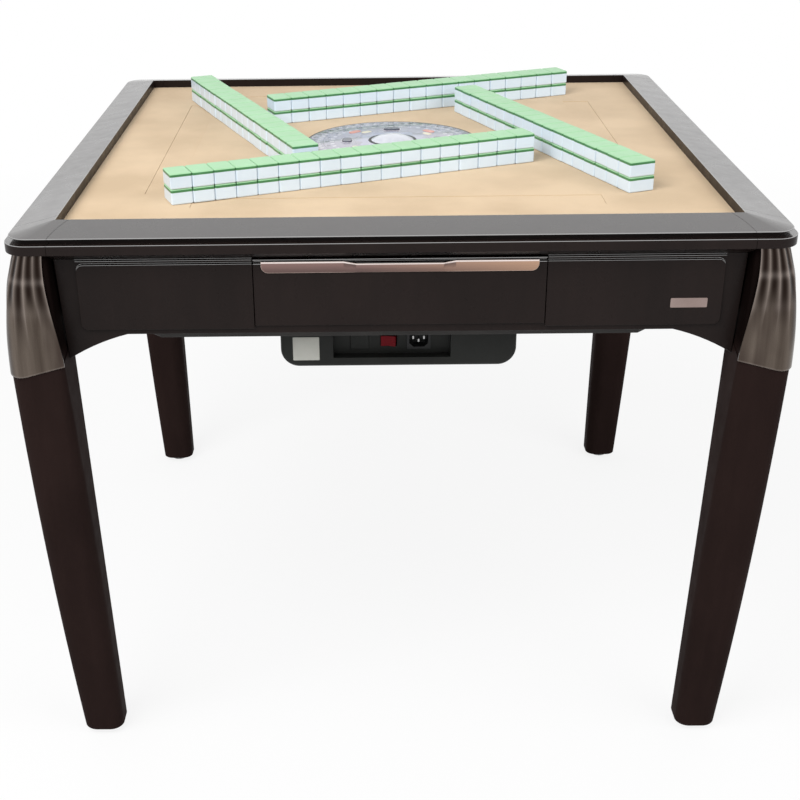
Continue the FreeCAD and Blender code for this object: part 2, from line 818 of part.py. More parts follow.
def make_brackets():
    seat = dim("apron_reach") - dim("apron_thick")
    reach = dim("bracket_reach")
    sheet_thick = dim("bracket_sheet")
    inset = sheet_thick * round(math.tan(math.radians(22.5)), 4)
    tail = reach - dim("bracket_flange")
    corners = [
        (tail, seat), (tail, seat - sheet_thick), (reach - inset, seat - sheet_thick),
        (seat - sheet_thick, reach - inset), (seat - sheet_thick, tail),
        (seat, tail), (seat, reach), (reach, seat),
    ]
    top = level("bracket_top_drop")
    blank = padded("bracket_blank", "XY_Plane", corners, top - dim("bracket_height"), top)
    bores = [bolt_bore(f"bracket_bore_{name}", name) for name in ("high", "low")]
    bracket = cut("leg_bracket", blank, *bores)
    group("leg_brackets", *at_corners(bracket, "leg_bracket"))

    bolts = []
    web_face = bracket_middle() - SIZES["bracket_sheet"] / math.sqrt(2)
    for name in ("high", "low"):
        height = level(f"bolt_{name}_drop").value
        shank = doc.addObject("Part::Cylinder", f"bolt_shank_{name}")
        bind(shank, "Radius", dim("bolt_radius"))
        bind(shank, "Height", dim("bolt_length") - dim("bracket_sheet"))
        shank.Placement = diagonal_placement(web_face, height)
        head = doc.addObject("Part::Prism", f"bolt_head_{name}")
        head.Polygon = 6
        bind(head, "Circumradius", dim("bolt_head_radius"))
        bind(head, "Height", dim("bolt_head_height"))
        head.Placement = diagonal_placement(web_face - SIZES["bolt_head_height"] / math.sqrt(2), height)
        bolts.append(fuse(f"bolt_{name}", shank, head))
    pair = group("bolt_pair", *bolts)
    group("leg_bolts", *at_corners(pair, "bolt_pair"))


# Control disc with its clear ring, dice window, seat buttons and lifting mast

def make_disc():
    radius = dim("disc_radius")
    lip = radius - dim("disc_lip")
    edge, foot, seat = level("disc_edge_drop"), level("disc_foot_drop"), level("disc_seat_drop")
    collar, collar_top = dim("collar_radius"), level("collar_drop")
    gap = dim("button_gap") / 2
    pit = dim("dome_radius") + gap
    pit_floor = level("die_floor_drop")
    revolved("disc_base", [
        (0, foot), (radius, foot), (radius, edge), (lip, edge), (lip, seat),
        (collar, seat), (collar, collar_top), (pit, collar_top), (pit, pit_floor), (0, pit_floor),
    ])
    ring_edge = lip - gap
    ring_inner = collar + gap
    blank = revolved("ring_blank", [
        (ring_inner, seat), (ring_edge, seat), (ring_edge, edge), (ring_inner, level("ring_inner_drop")),
    ])
    hole = button_form("button_hole", dim("button_gap"), seat, collar_top)
    holes = four_of(hole, [f"button_hole_{side}" for side in SIDES])
    cut("disc_ring", blank, *holes)
    button = button_form("seat_button_front", size(0), level("button_foot_drop"), level("button_top_drop"))
    four_of(button, [f"seat_button_{side}" for side in SIDES])

    dome, rise, shell = dim("dome_radius"), dim("dome_rise"), dim("dome_shell")
    crown = collar_top - shell
    bow = bow_radius(dome, rise)
    inner = dome - shell
    inner_bow = bow_radius(inner, rise)
    revolved("disc_dome", [
        (0, crown + rise), (inner, crown), (inner, crown - shell), (dome, crown - shell),
        (dome, crown + shell), (0, crown + rise + shell),
    ], {0: inner_bow, 4: -bow})
    make_dice(pit_floor)
    mast, bore = dim("mast_radius"), dim("mast_bore")
    mast_foot = level("mast_foot_drop")
    revolved("lift_mast", [(bore, mast_foot), (mast, mast_foot), (mast, foot), (bore, foot)])


def bow_radius(half, rise):
    """Radius of the arc that is half wide and rises by rise; a length tied to the sheet."""
    value = (half.value ** 2 + rise.value ** 2) / (2 * rise.value)
    return Size(value, f"(({half.text} * {half.text} + {rise.text} * {rise.text}) / (2 * {rise.text}))")


def button_form(name, gap, low, high):
    """Oval push button in front of the disc's centre, its long side along X."""
    wide = dim("button_wide") / 2 + gap
    straight = (dim("button_long") - dim("button_wide")) / 2
    reach = dim("button_reach")
    body = doc.addObject("PartDesign::Body", name)
    sketch = new_sketch(body, "XY_Plane", low, f"{name}_oval")
    ends = []
    for hand, start in ((1, -math.pi / 2), (-1, math.pi / 2)):
        centre = FreeCAD.Vector(hand * straight.value, -reach.value, 0)
        circle = Part.Circle(centre, FreeCAD.Vector(0, 0, 1), wide.value)
        ends.append(sketch.addGeometry(Part.ArcOfCircle(circle, start, start + math.pi)))
        fix_point(sketch, ends[-1], 3, (straight * hand, -reach))
        number = sketch.addConstraint(Sketcher.Constraint("Radius", ends[-1], wide.value))
        sketch.setExpression(f"Constraints[{number}]", wide.text)
    right, left = ends
    for from_arc, to_arc in ((right, left), (left, right)):
        start = sketch.getPoint(from_arc, 2)
        side = sketch.addGeometry(Part.LineSegment(start, sketch.getPoint(to_arc, 1)))
        sketch.addConstraint(Sketcher.Constraint("Tangent", from_arc, 2, side, 1))
        sketch.addConstraint(Sketcher.Constraint("Tangent", side, 2, to_arc, 1))
    pad = body.newObject("PartDesign::Pad", f"{name}_pad")
    pad.Profile = sketch
    bind(pad, "Length", size(high) - low)
    return body


def make_dice(floor):
    """Two dice lying apart on the floor of the dice window."""
    edge = SIZES["die_size"]
    dice = []
    for number, (x, y, angle) in enumerate(((-0.95, 0.3, 24), (0.9, -0.35, -17))):
        die = doc.addObject("Part::Box", f"die_{number}")
        for span in ("Length", "Width", "Height"):
            bind(die, span, dim("die_size"))
        turn = FreeCAD.Rotation(FreeCAD.Vector(0, 0, 1), angle)
        centre = FreeCAD.Vector(x * edge, y * edge, floor.value)
        half = FreeCAD.Vector(edge / 2, edge / 2, 0)
        die.Placement = FreeCAD.Placement(centre - turn.multVec(half), turn)
        dice.append(die)
    group("dice", *dice)


# Shuffling well: fixed tub with a guide column, turntable, drive wheel and motor

def make_well():
    outer, wall = dim("well_radius"), dim("well_wall")
    inner = outer - wall
    floor = level("pan_drop") + dim("pan_sheet")
    floor_top = floor + dim("well_floor")
    rim = level("well_top_drop")
    bore = dim("mast_radius") + dim("guide_play")
    column, column_top = dim("column_radius"), level("column_top_drop")
    hub = dim("hub_radius")
    thrust = level("table_foot_drop") - dim("wheel_gap")
    tub = revolved("tub_form", [
        (bore, floor), (outer, floor), (outer, rim), (inner, rim), (inner, floor_top),
        (hub, floor_top), (hub, thrust), (column, thrust), (column, column_top), (bore, column_top),
    ])
    skirt_inner = dim("table_radius") - dim("table_skirt")
    wheel_reach = skirt_inner - dim("wheel_gap") - dim("wheel_radius")
    wheel_place = (0, -wheel_reach)
    shaft_hole = cylinder("tub_shaft_hole", dim("shaft_hole_radius"), wheel_place, floor, floor_top)
    cut("shuffle_tub", tub, shaft_hole)

    table_top, table_foot = level("table_top_drop"), level("table_foot_drop")
    skirt_foot = level("skirt_foot_drop")
    revolved("shuffle_turntable", [
        (column + dim("guide_play"), table_foot), (skirt_inner, table_foot), (skirt_inner, skirt_foot),
        (dim("table_radius"), skirt_foot), (dim("table_radius"), table_top), (hub, table_top),
        (hub, level("hub_top_drop")), (column + dim("guide_play"), level("hub_top_drop")),
    ])
    wheel_top = level("wheel_top_drop")
    wheel = cylinder("wheel_rim", dim("wheel_radius"), wheel_place, wheel_top - dim("wheel_height"), wheel_top)
    shaft = cylinder("wheel_shaft", dim("guide_radius"), wheel_place, level("shaft_foot_drop"), wheel_top)
    fuse("drive_pinion", wheel, shaft)
    motor_top = level("pan_drop")
    body = cylinder("motor_body", dim("motor_radius"), wheel_place, level("motor_foot_drop"), motor_top)
    shaft_bore = cylinder("motor_bore", dim("guide_radius") + dim("guide_play"), wheel_place,
                          level("shaft_foot_drop") - dim("wheel_gap"), motor_top)
    cut("shuffle_motor", body, shaft_bore)
    return wheel_place


# Bottom pan: eight-sided steel tray that hangs between the aprons

def octagon(name, reach, side, low, high):
    corners = [
        (-side, -reach), (side, -reach), (reach, -side), (reach, side),
        (side, reach), (-side, reach), (-reach, side), (-reach, -side),
    ]
    return padded(name, "XY_Plane", corners, low, high)


def make_pan(wheel_place):
    reach, side, sheet_thick = dim("pan_reach"), dim("pan_side"), dim("pan_sheet")
    foot, rim = level("pan_drop"), level("pan_rim_drop")
    seat = dim("apron_reach") - dim("apron_thick")
    tray = octagon("pan_tray", reach, side, foot, rim)
    flange = octagon("pan_flange", seat, side, rim - sheet_thick, rim)
    inside = octagon("pan_inside", reach - sheet_thick, side - sheet_thick / 2, foot + sheet_thick, rim)
    shaft_hole = cylinder("pan_shaft_hole", dim("shaft_hole_radius"), wheel_place, foot, foot + sheet_thick)
    cut("bottom_pan", fuse("pan_blank", tray, flange), inside, shaft_hole)


# Electrical box under the pan, with the recessed switch and socket

def tub_block(name, half, front, back, low, high, corner, face_round):
    """Block between two reaches in front of the centre, rounded at its long lower edges and round its face."""
    body = padded(name, "XY_Plane", [(-half, -front), (half, -front), (half, -back), (-half, -back)], low, high)
    rounded_edges(body, corner, lambda edge: abs(edge.tangentAt(edge.FirstParameter).y) > 0.9 and all(
        abs(vertex.Z - size(low).value) < 0.01 for vertex in edge.Vertexes))
    return rounded_edges(body, face_round, lambda edge: edge.BoundBox.ZMin < size(high).value - 0.01 and all(
        abs(vertex.Y + size(front).value) < 0.01 for vertex in edge.Vertexes))


def make_base():
    half = dim("base_width") / 2
    front, back = dim("base_front_reach"), dim("base_back_reach")
    foot, top = level("base_drop"), level("pan_drop")
    wall = dim("base_wall")
    blank = tub_block("base_blank", half, front, back, foot, top, dim("base_corner"), dim("base_round"))
    hollow = tub_block("base_hollow", half - wall, front - wall, back + wall, foot + wall, top,
                       dim("base_corner") - wall, dim("base_round") - wall)
    wing, cut_back = dim("flange_width") / 2, dim("flange_cut")
    edge, tail = dim("flange_front_reach"), dim("flange_back_reach")
    flange = padded("base_flange", "XY_Plane", [
        (-wing, cut_back - edge), (cut_back - wing, -edge), (wing - cut_back, -edge), (wing, cut_back - edge),
        (wing, -tail), (-wing, -tail),
    ], top - dim("flange_thick"), top)
    left, right = dim("recess_left"), dim("recess_right")
    recess_top, recess_foot = level("recess_top_drop"), level("recess_foot_drop")
    recess_back = front - dim("recess_depth")
    block = box("recess_block", (left - wall, -front, recess_foot - wall),
                (right + wall, wall - recess_back, recess_top + wall))
    recess = box("recess", (left, -front, recess_foot), (right, -recess_back, recess_top))
    blank_left, blank_foot = dim("blank_left"), level("blank_foot_drop")
    cover = box("blank_cover", (blank_left, -recess_back - wall / 2, blank_foot),
                (blank_left + dim("blank_size"), -recess_back, blank_foot + dim("blank_size")))
    rocker_gap = dim("rocker_gap")
    switch_half = dim("rocker_length") / 2 + rocker_gap
    switch_high = dim("rocker_height") / 2 + rocker_gap
    place, height = dim("rocker_place"), level("rocker_drop")
    switch_hole = box("switch_hole", (place - switch_half, -recess_back, height - switch_high),
                      (place + switch_half, wall - recess_back, height + switch_high))
    inlet_half = dim("inlet_width") / 2 + dim("field_gap") / 2
    inlet_high = dim("inlet_height") / 2 + dim("field_gap") / 2
    place, height = dim("inlet_place"), level("inlet_drop")
    inlet_hole = box("inlet_hole", (place - inlet_half, -recess_back, height - inlet_high),
                     (place + inlet_half, wall - recess_back, height + inlet_high))
    shell = cut("base_shell", fuse("base_flanged", blank, flange), hollow)
    pocketed = cut("base_pocketed", fuse("base_joined", shell, block), recess)
    cut("base_box", fuse("base_covered", pocketed, cover), switch_hole, inlet_hole)
    make_rocker(recess_back)
    make_inlet(recess_back)


def make_rocker(recess_back):
    """Rocker with a shallow V face, tipped to one side about an upright pivot in the recess wall."""
    half = dim("rocker_length") / 2
    height = dim("rocker_height") / 2
    proud = dim("recess_depth") / 2 - dim("rocker_gap")
    dish = dim("base_wall") / 2
    rocker = padded("power_rocker", "XY_Plane", [
        (-half, 0), (-half, -proud), (0, dish - proud), (half, -proud), (half, 0),
        (half / 2, dish), (-half / 2, dish),
    ], -height, height)
    depth = SIZES["base_wall"] - recess_back.value
    pivot = FreeCAD.Vector(SIZES["rocker_place"], depth, level("rocker_drop").value)
    tilt = FreeCAD.Rotation(FreeCAD.Vector(0, 0, 1), -SIZES["rocker_tilt"])
    rocker.Placement = FreeCAD.Placement(pivot, tilt)


def make_inlet(recess_back):
    half, high = dim("inlet_width") / 2, dim("inlet_height") / 2
    place, height = dim("inlet_place"), level("inlet_drop")
    flange = dim("inlet_flange")
    mouth = recess_back + flange
    plate = box("inlet_plate", (place - half - flange, -mouth, height - high - flange),
                (place + half + flange, -recess_back, height + high + flange))
    shank = box("inlet_shank", (place - half, -recess_back, height - high),
                (place + half, dim("inlet_depth") - recess_back, height + high))
    wide, tall, corner = dim("socket_width") / 2, dim("socket_height") / 2, dim("socket_corner")
    socket = padded("inlet_socket", "XZ_Plane", [
        (place - wide, height + tall), (place - wide, height - tall + corner),
        (place - wide + corner, height - tall), (place + wide - corner, height - tall),
        (place + wide, height - tall + corner), (place + wide, height + tall),
    ], mouth - dim("socket_depth"), mouth)
    cut("power_inlet", fuse("inlet_blank", plate, shank), socket)
    pin_foot = mouth - dim("socket_depth")
    pins = []
    for number, (across, up) in enumerate(((-1, 0.25), (0, -0.25), (1, 0.25))):
        x = place + dim("pin_span") * across - dim("pin_thick") / 2
        z = height + dim("socket_height") * up / 2 - dim("pin_wide") / 2
        pins.append(box(f"inlet_pin_{number}", (x, -pin_foot - dim("pin_length"), z),
                        (x + dim("pin_thick"), -pin_foot, z + dim("pin_wide"))))
    group("inlet_pins", *pins)


# Tiles: four walls of two layers in a pinwheel about the disc

def make_tiles():
    block = doc.addObject("Part::Box", "tile_block")
    bind(block, "Length", dim("tile_pitch") - dim("tile_gap"))
    bind(block, "Width", dim("tile_length"))
    bind(block, "Height", dim("tile_thick"))
    doc.recompute()
    tile = doc.addObject("Part::Chamfer", "tile")
    tile.Base = block
    edge = SIZES["tile_edge"]
    tile.Edges = [(number, edge, edge) for number in range(1, len(block.Shape.Edges) + 1)]
    doc.recompute()
    pitch, length, thick = SIZES["tile_pitch"], SIZES["tile_length"], SIZES["tile_thick"]
    left_end = -SIZES["wall_shift"] - pitch * TILES_IN_ROW / 2
    start = FreeCAD.Vector(left_end, -SIZES["wall_reach"] - length / 2, 0)
    tiles = []
    for layer in range(TILE_LAYERS):
        for number in range(TILES_IN_ROW):
            copy = tile.Shape.copy()
            copy.translate(start + FreeCAD.Vector(pitch * number, 0, thick * layer))
            tiles.append(copy)
    wall = doc.addObject("Part::Feature", "tile_wall")
    wall.Shape = Part.makeCompound(tiles)
    for turns, side in enumerate(SIDES):
        item = group(f"tile_wall_{side}", wall)
        angle = SIZES["wall_angle"] + 90 * turns
        item.Placement.Rotation = FreeCAD.Rotation(FreeCAD.Vector(0, 0, 1), angle)
        bind(item, "Placement.Base.y", dim("wheel_centre"))
        bind(item, "Placement.Base.z", level("felt_drop"))


def node_names():
    """Labels of the sub-parts, in the order in which they are written."""
    names = [f"rim_rail_{side}" for side in SIDES]
    names += ["rim_corners", "field_board", "field_felt", "lift_guides", "lift_motors"]
    names += [f"tile_lift_{side}" for side in SIDES]
    names += [f"leg_{corner}" for corner in CORNERS]
    names += ["leg_caps", "levelling_feet", "leg_brackets", "leg_bolts"]
    for piece in ("apron", "drawer_front", "drawer_box", "drawer_handle"):
        names += [f"{piece}_{side}" for side in SIDES]
    names += ["drawer_runners", "disc_base", "disc_ring", "disc_dome", "dice", "lift_mast"]
    names += [f"seat_button_{side}" for side in SIDES]
    names += ["bottom_pan", "base_box", "power_rocker", "power_inlet", "inlet_pins"]
    names += ["shuffle_tub", "shuffle_turntable", "shuffle_motor", "drive_pinion"]
    names += [f"tile_wall_{side}" for side in SIDES]
    return names


def check_and_write():
    doc.recompute()
    for item in doc.Objects:
        if "Invalid" in item.State or "Error" in item.State:
            raise RuntimeError(f"{item.Name} failed: {item.State}")
    os.makedirs("parts", exist_ok=True)
    for name in node_names():
        item = doc.getObject(name)
        item.Label = name
        shape = item.Shape
        if shape.isNull() or not shape.isValid() or not shape.Solids:
            raise RuntimeError(f"{name} has no sound solid")
        shape.exportStep(f"parts/{name}.step")
        print(f"{name}: {len(shape.Solids)} solids, {shape.Volume / 1000:.1f} cm3")


make_rim()
make_field()
make_lifts()
make_aprons()
make_drawers()
make_legs()
make_brackets()
make_disc()
drive_place = make_well()
make_pan(drive_place)
make_base()
make_tiles()
check_and_write()
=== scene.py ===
import json
import math
import random

import bmesh
import bpy
from mathutils import Matrix, Vector


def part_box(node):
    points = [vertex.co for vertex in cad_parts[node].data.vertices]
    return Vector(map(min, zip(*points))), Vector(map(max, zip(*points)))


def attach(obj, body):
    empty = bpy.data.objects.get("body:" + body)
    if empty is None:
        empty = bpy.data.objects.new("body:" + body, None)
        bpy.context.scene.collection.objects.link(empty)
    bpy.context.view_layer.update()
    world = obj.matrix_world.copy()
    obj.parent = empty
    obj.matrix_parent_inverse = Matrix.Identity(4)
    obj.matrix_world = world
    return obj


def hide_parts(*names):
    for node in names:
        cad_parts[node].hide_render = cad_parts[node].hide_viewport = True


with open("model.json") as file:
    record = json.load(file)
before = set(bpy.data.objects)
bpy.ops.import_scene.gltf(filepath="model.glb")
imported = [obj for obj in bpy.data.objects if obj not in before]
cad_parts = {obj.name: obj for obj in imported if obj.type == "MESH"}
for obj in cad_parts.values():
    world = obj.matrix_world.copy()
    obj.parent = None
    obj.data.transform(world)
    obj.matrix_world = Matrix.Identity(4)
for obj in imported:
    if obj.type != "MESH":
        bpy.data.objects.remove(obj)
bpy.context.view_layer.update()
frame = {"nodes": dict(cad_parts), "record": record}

# Looks of the machine mahjong table, in metres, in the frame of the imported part.

NODES = frame["nodes"]
SIDES = ("front", "right", "back", "left")
CORNERS = ("front_left", "front_right", "back_right", "back_left")
QUARTER = math.pi / 2
RIM_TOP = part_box("rim_rail_front")[1].z
FELT_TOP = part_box("field_felt")[1].z

# Camera of the photograph, in pixels of its 800 by 800 frame where it says so
FRAME_PIXELS = 800
FOCAL_PIXELS = 1328.8
AXIS_PIXEL = (354.5, 409.8)
SENSOR = 36.0
CAMERA_PLACE = Vector((-0.0382, -1.9746, RIM_TOP + 0.4745))
CAMERA_PITCH = 0.4405
CAMERA_YAW = 0.0124
CAMERA_ROLL = 0.0143

# Tiles: size, coloured back, how loosely they stand, and the pinwheel of four walls
TILE = Vector((0.0289, 0.038, 0.0205))
TILE_PITCH = 0.0292
TILE_BACK = 0.0044
TILE_ROUND = 0.0021
TILE_FACE_UPWARD = 0.3
TILE_SEED = 18
LOOSE_ALONG = 0.0001
LOOSE_ACROSS = 0.0005
TILES_IN_ROW = 18
TILE_LAYERS = 2
WALL_ANGLE = math.radians(22.1)
WALL_REACH = 0.1844
WALL_SHIFT = 0.132
WALL_CENTRE = Vector((0, 0.0149, FELT_TOP))

# Bronze shells over the legs' outer corners: (drop below the rim's top, inner edge, outer face)
CAP_STATIONS = (
    (0.028, 0.428, 0.4683), (0.084, 0.424, 0.4796), (0.140, 0.414, 0.484), (0.205, 0.4118, 0.4846),
)
CAP_ROUND = 0.028
CAP_DROP = 0.187
CAP_SLOPE = math.tan(math.radians(21))
CAP_CORNER = 0.484
CAP_SHEET = 0.0026
FLUTE_DEPTH = 0.0016
FLUTE_START = 0.3
FLUTE_ENDS = (0.74, 0.52, 0.82, 0.5, 0.78, 0.56, 0.72)
NECK_DROP = 0.058
NECK_DEPTH = 0.0012
NECK_SOFTNESS = 0.004
CAP_COLUMNS = 14 * len(FLUTE_ENDS)
CAP_ROWS = 66

# Worn places and painted highlights of the shells: ridges worn bright under a painted highlight, a painted
# highlight along the hem, and painted highlight bands as (drop, half height, strength)
RIDGE_WEAR_AND_HIGHLIGHT = 0.7
HEM_START = 0.985
HEM_PAINTED_HIGHLIGHT = 0.6
PAINTED_HIGHLIGHT_BANDS = ((0.061, 0.004, 0.7), (0.098, 0.007, 0.2))
BAND_LOSS = 0.7

# Drawer pulls: half their length, their middle line, and from it the part with painted shade and the
# painted highlight along the upper edge
HANDLE_HALF = 0.1675
HANDLE_MIDDLE = RIM_TOP - 0.0513
HANDLE_SHADE = (-0.005, 0.003)
HANDLE_HIGHLIGHT = (0.0046, 0.0056)

# Control disc
BUTTON_REACH = 0.068
BUTTON_LONG = 0.024
BUTTON_WIDE = 0.013
LAMP_REACH = 0.080
INDICATOR_REACH = 0.066
RING_TOP = RIM_TOP - 0.0105
DISC_SLOPE = 0.0281
PETALS = 12
PETAL_RADIUS = 0.0505
PETAL_SWELL = 0.0045

# Trim on the disc: length, width and rise of the lenses, and the ring round each button
LAMP_LENS = (0.021, 0.0105, 0.0009)
INDICATOR_LENS = (0.017, 0.009, 0.0006)
LAMP_TURN = QUARTER / 2
INDICATOR_TURN = QUARTER * 0.4
BEZEL_GAP = 0.0012
BEZEL_BORDER = 0.0016
BEZEL_RISE = 0.0007
TRIM_SUNK = 0.0006

# Blank plates where the table carries its name and its rating label
BADGE_SIZE = (0.045, 0.0125)
BADGE_ROUND = 0.0015
BADGE_THICK = 0.001
BADGE_PLACE = Vector((0.3515, -0.4545, RIM_TOP - 0.102))
LABEL_SIZE = (0.034, 0.032)
LABEL_ROUND = 0.001
LABEL_THICK = 0.0004
LABEL_PLACE = Vector((-0.119, -0.3921, RIM_TOP - 0.184))

# Studio: grey of the floor, how far out it fades into the backdrop, and the light of the world
FLOOR_HALF = 14
FLOOR_GREY = 0.82
FLOOR_FADE = {"From Min": 0.9, "From Max": 3.0, "To Min": 0.85, "To Max": 1.0}
WORLD_LIGHT = 0.5
BACKDROP = 1.0

# Lights: name, place, aim, size, watts, and if mirrors show them
LIGHTS = (
    ("key", (-1.4, -1.7, 2.6), (0, 0, 0.6), (2.0, 2.0), 75, False),
    ("fill", (1.9, -1.5, 1.9), (0, 0, 0.5), (2.0, 2.0), 30, False),
    ("back", (0, 2.1, 2.3), (0, 0, 0.7), (5.0, 2.4), 12, True),
)


# Materials

LACQUER_COAT = 0.77
EDGE_SHINE = RIM_TOP - 0.06
SHINE_FADE = 0.005
# Painted shade on the legs' heads: darker from this height up, fading in over SHADE_FADE
LEG_SHADE = RIM_TOP - 0.175
SHADE_FADE = 0.03
PATINA = "patina"
# Attribute of the caps' worn ridges and painted highlights
WEAR_AND_HIGHLIGHT = "wear_and_highlight"


class Surface:
    """A procedural material: its Principled shader and short calls for the nodes that feed it."""

    def __init__(self, name, **constants):
        self.material = bpy.data.materials.new(name)
        self.material.use_nodes = True
        self.tree = self.material.node_tree
        self.shader = self.tree.nodes["Principled BSDF"]
        self.place = self.tree.nodes.new("ShaderNodeTexCoord").outputs["Object"]
        for socket, value in constants.items():
            self.shader.inputs[socket.replace("_", " ")].default_value = value

    def node(self, kind, inputs=None, **settings):
        item = self.tree.nodes.new(kind)
        for key, value in settings.items():
            setattr(item, key, value)
        for key, value in (inputs or {}).items():
            if isinstance(value, bpy.types.NodeSocket):
                self.tree.links.new(value, item.inputs[key])
            else:
                item.inputs[key].default_value = value
        return item

    def feed(self, socket, value):
        self.tree.links.new(value, self.shader.inputs[socket])

    def math(self, operation, *values):
        return self.node("ShaderNodeMath", dict(enumerate(values)), operation=operation).outputs[0]

    def noise(self, scale, detail=3.0, stretch=(1, 1, 1)):
        where = self.node("ShaderNodeMapping", {"Vector": self.place, "Scale": stretch}).outputs[0]
        inputs = {"Vector": where, "Scale": scale, "Detail": detail}
        return self.node("ShaderNodeTexNoise", inputs).outputs["Fac"]

    def spread(self, value, low, high, start=0.3, end=0.7):
        """Value from start to end becomes low to high."""
        inputs = {"Value": value, "From Min": start, "From Max": end, "To Min": low, "To Max": high}
        return self.node("ShaderNodeMapRange", inputs).outputs[0]

    def mix(self, share, first, second):
        item = self.node("ShaderNodeMix", data_type="RGBA")
        for key, value in ((0, share), (6, first), (7, second)):
            if isinstance(value, bpy.types.NodeSocket):
                self.tree.links.new(value, item.inputs[key])
            else:
                item.inputs[key].default_value = value if key == 0 else (*value, 1)
        return item.outputs[2]

    def bump(self, height, strength, distance):
        inputs = {"Height": height, "Strength": strength, "Distance": distance}
        self.feed("Normal", self.node("ShaderNodeBump", inputs).outputs[0])


def lacquer(name, dark, light, gloss, rough, polish=1.9, upright=0.45, painted_shade_above=None, shine=None):
    """Espresso lacquer with a warm cloud: coated where it faces up above shine, with painted shade that
    darkens it from a given height up.
    """
    surface = Surface(name, Specular_IOR_Level=gloss, Coat_IOR=polish, Coat_Roughness=0.1)
    cloud = surface.noise(9, 4, (1, 1, 0.6))
    streak = surface.noise(70, 3, (1, 1, 0.15))
    share = surface.math("ADD", surface.spread(cloud, 0, 0.7), surface.spread(streak, 0, 0.3))
    colour = surface.mix(share, dark, light)
    height = surface.node("ShaderNodeSeparateXYZ", {0: surface.place}).outputs[2]
    # Painted shade: from that height up the colour goes towards black, for the shade on the legs' heads
    # under the rim and caps
    if painted_shade_above:
        colour = surface.mix(surface.spread(height, 0, 0.75, painted_shade_above, painted_shade_above + SHADE_FADE), colour, (0, 0, 0))
    surface.feed("Base Color", colour)
    surface.feed("Roughness", surface.spread(surface.noise(40, 5), rough - 0.06, rough + 0.06))
    coords = surface.place.node.outputs["Normal"]
    upward = surface.node("ShaderNodeSeparateXYZ", {0: coords}).outputs[2]
    coat = surface.spread(upward, 0, LACQUER_COAT, upright, upright * 2)
    if shine:
        coat = surface.math("MULTIPLY", coat, surface.spread(height, 0, 1, shine, shine + SHINE_FADE))
    surface.feed("Coat Weight", coat)
    surface.bump(surface.noise(900, 2), 0.02, 0.0004)
    return surface.material


def felt():
    """Short-napped tan cloth with a faint mottle."""
    surface = Surface("tan_felt", Specular_IOR_Level=0.12, Sheen_Weight=0.25, Sheen_Roughness=0.5)
    mottle = surface.spread(surface.noise(9, 5), 0, 1, 0.36, 0.64)
    nap = surface.noise(1500, 2, (1, 0.5, 1))
    base = surface.mix(mottle, (0.51, 0.36, 0.208), (0.635, 0.465, 0.289))
    surface.feed("Base Color", surface.mix(surface.spread(nap, 0, 0.4), base, (0.715, 0.555, 0.372)))
    surface.feed("Roughness", surface.spread(nap, 0.85, 0.98))
    surface.bump(nap, 0.35, 0.0006)
    return surface.material


def resin(name, dark, light, rough, coat=0.15):
    """Polished tile resin with a slight cloud."""
    surface = Surface(name, Specular_IOR_Level=0.4, Coat_Weight=coat, Coat_Roughness=0.08)
    cloud = surface.spread(surface.noise(26, 2), 0, 1)
    surface.feed("Base Color", surface.mix(cloud, dark, light))
    surface.feed("Roughness", surface.spread(surface.noise(220, 3), rough - 0.03, rough + 0.03))
    surface.bump(surface.noise(700, 2), 0.01, 0.0002)
    return surface.material


def bronze():
    """Antique bronze plating: brown in the flutes, streaked down its length, bright on the worn ridges and
    in painted highlights on the ridges, the neck bands and the hem.
    """
    surface = Surface("bronze_plating", Metallic=1.0)
    worn = surface.node("ShaderNodeAttribute", attribute_name=PATINA).outputs["Fac"]
    wear_and_highlight = surface.node("ShaderNodeAttribute", attribute_name=WEAR_AND_HIGHLIGHT).outputs["Fac"]
    streak = surface.spread(surface.noise(60, 3, (1, 1, 0.05)), 0, 1)
    fine = surface.noise(900, 3, (1, 1, 0.02))
    clear_metal = surface.mix(streak, (0.074, 0.057, 0.046), (0.160, 0.130, 0.108))
    cloud = surface.spread(surface.noise(26, 2, (1, 1, 0.3)), 0, 0.7, 0.46, 0.6)
    plain = surface.mix(cloud, clear_metal, (0.044, 0.030, 0.026))
    aged = surface.mix(worn, plain, (0.020, 0.0130, 0.0105))
    # Where the shell is worn and where highlights are painted, the colour goes light
    bright = surface.math("MULTIPLY", wear_and_highlight, surface.spread(streak, 0.5, 1, 0, 1))
    surface.feed("Base Color", surface.mix(bright, aged, (0.36, 0.305, 0.275)))
    surface.feed("Roughness", surface.spread(fine, 0.24, 0.34))
    surface.bump(fine, 0.03, 0.0002)
    return surface.material


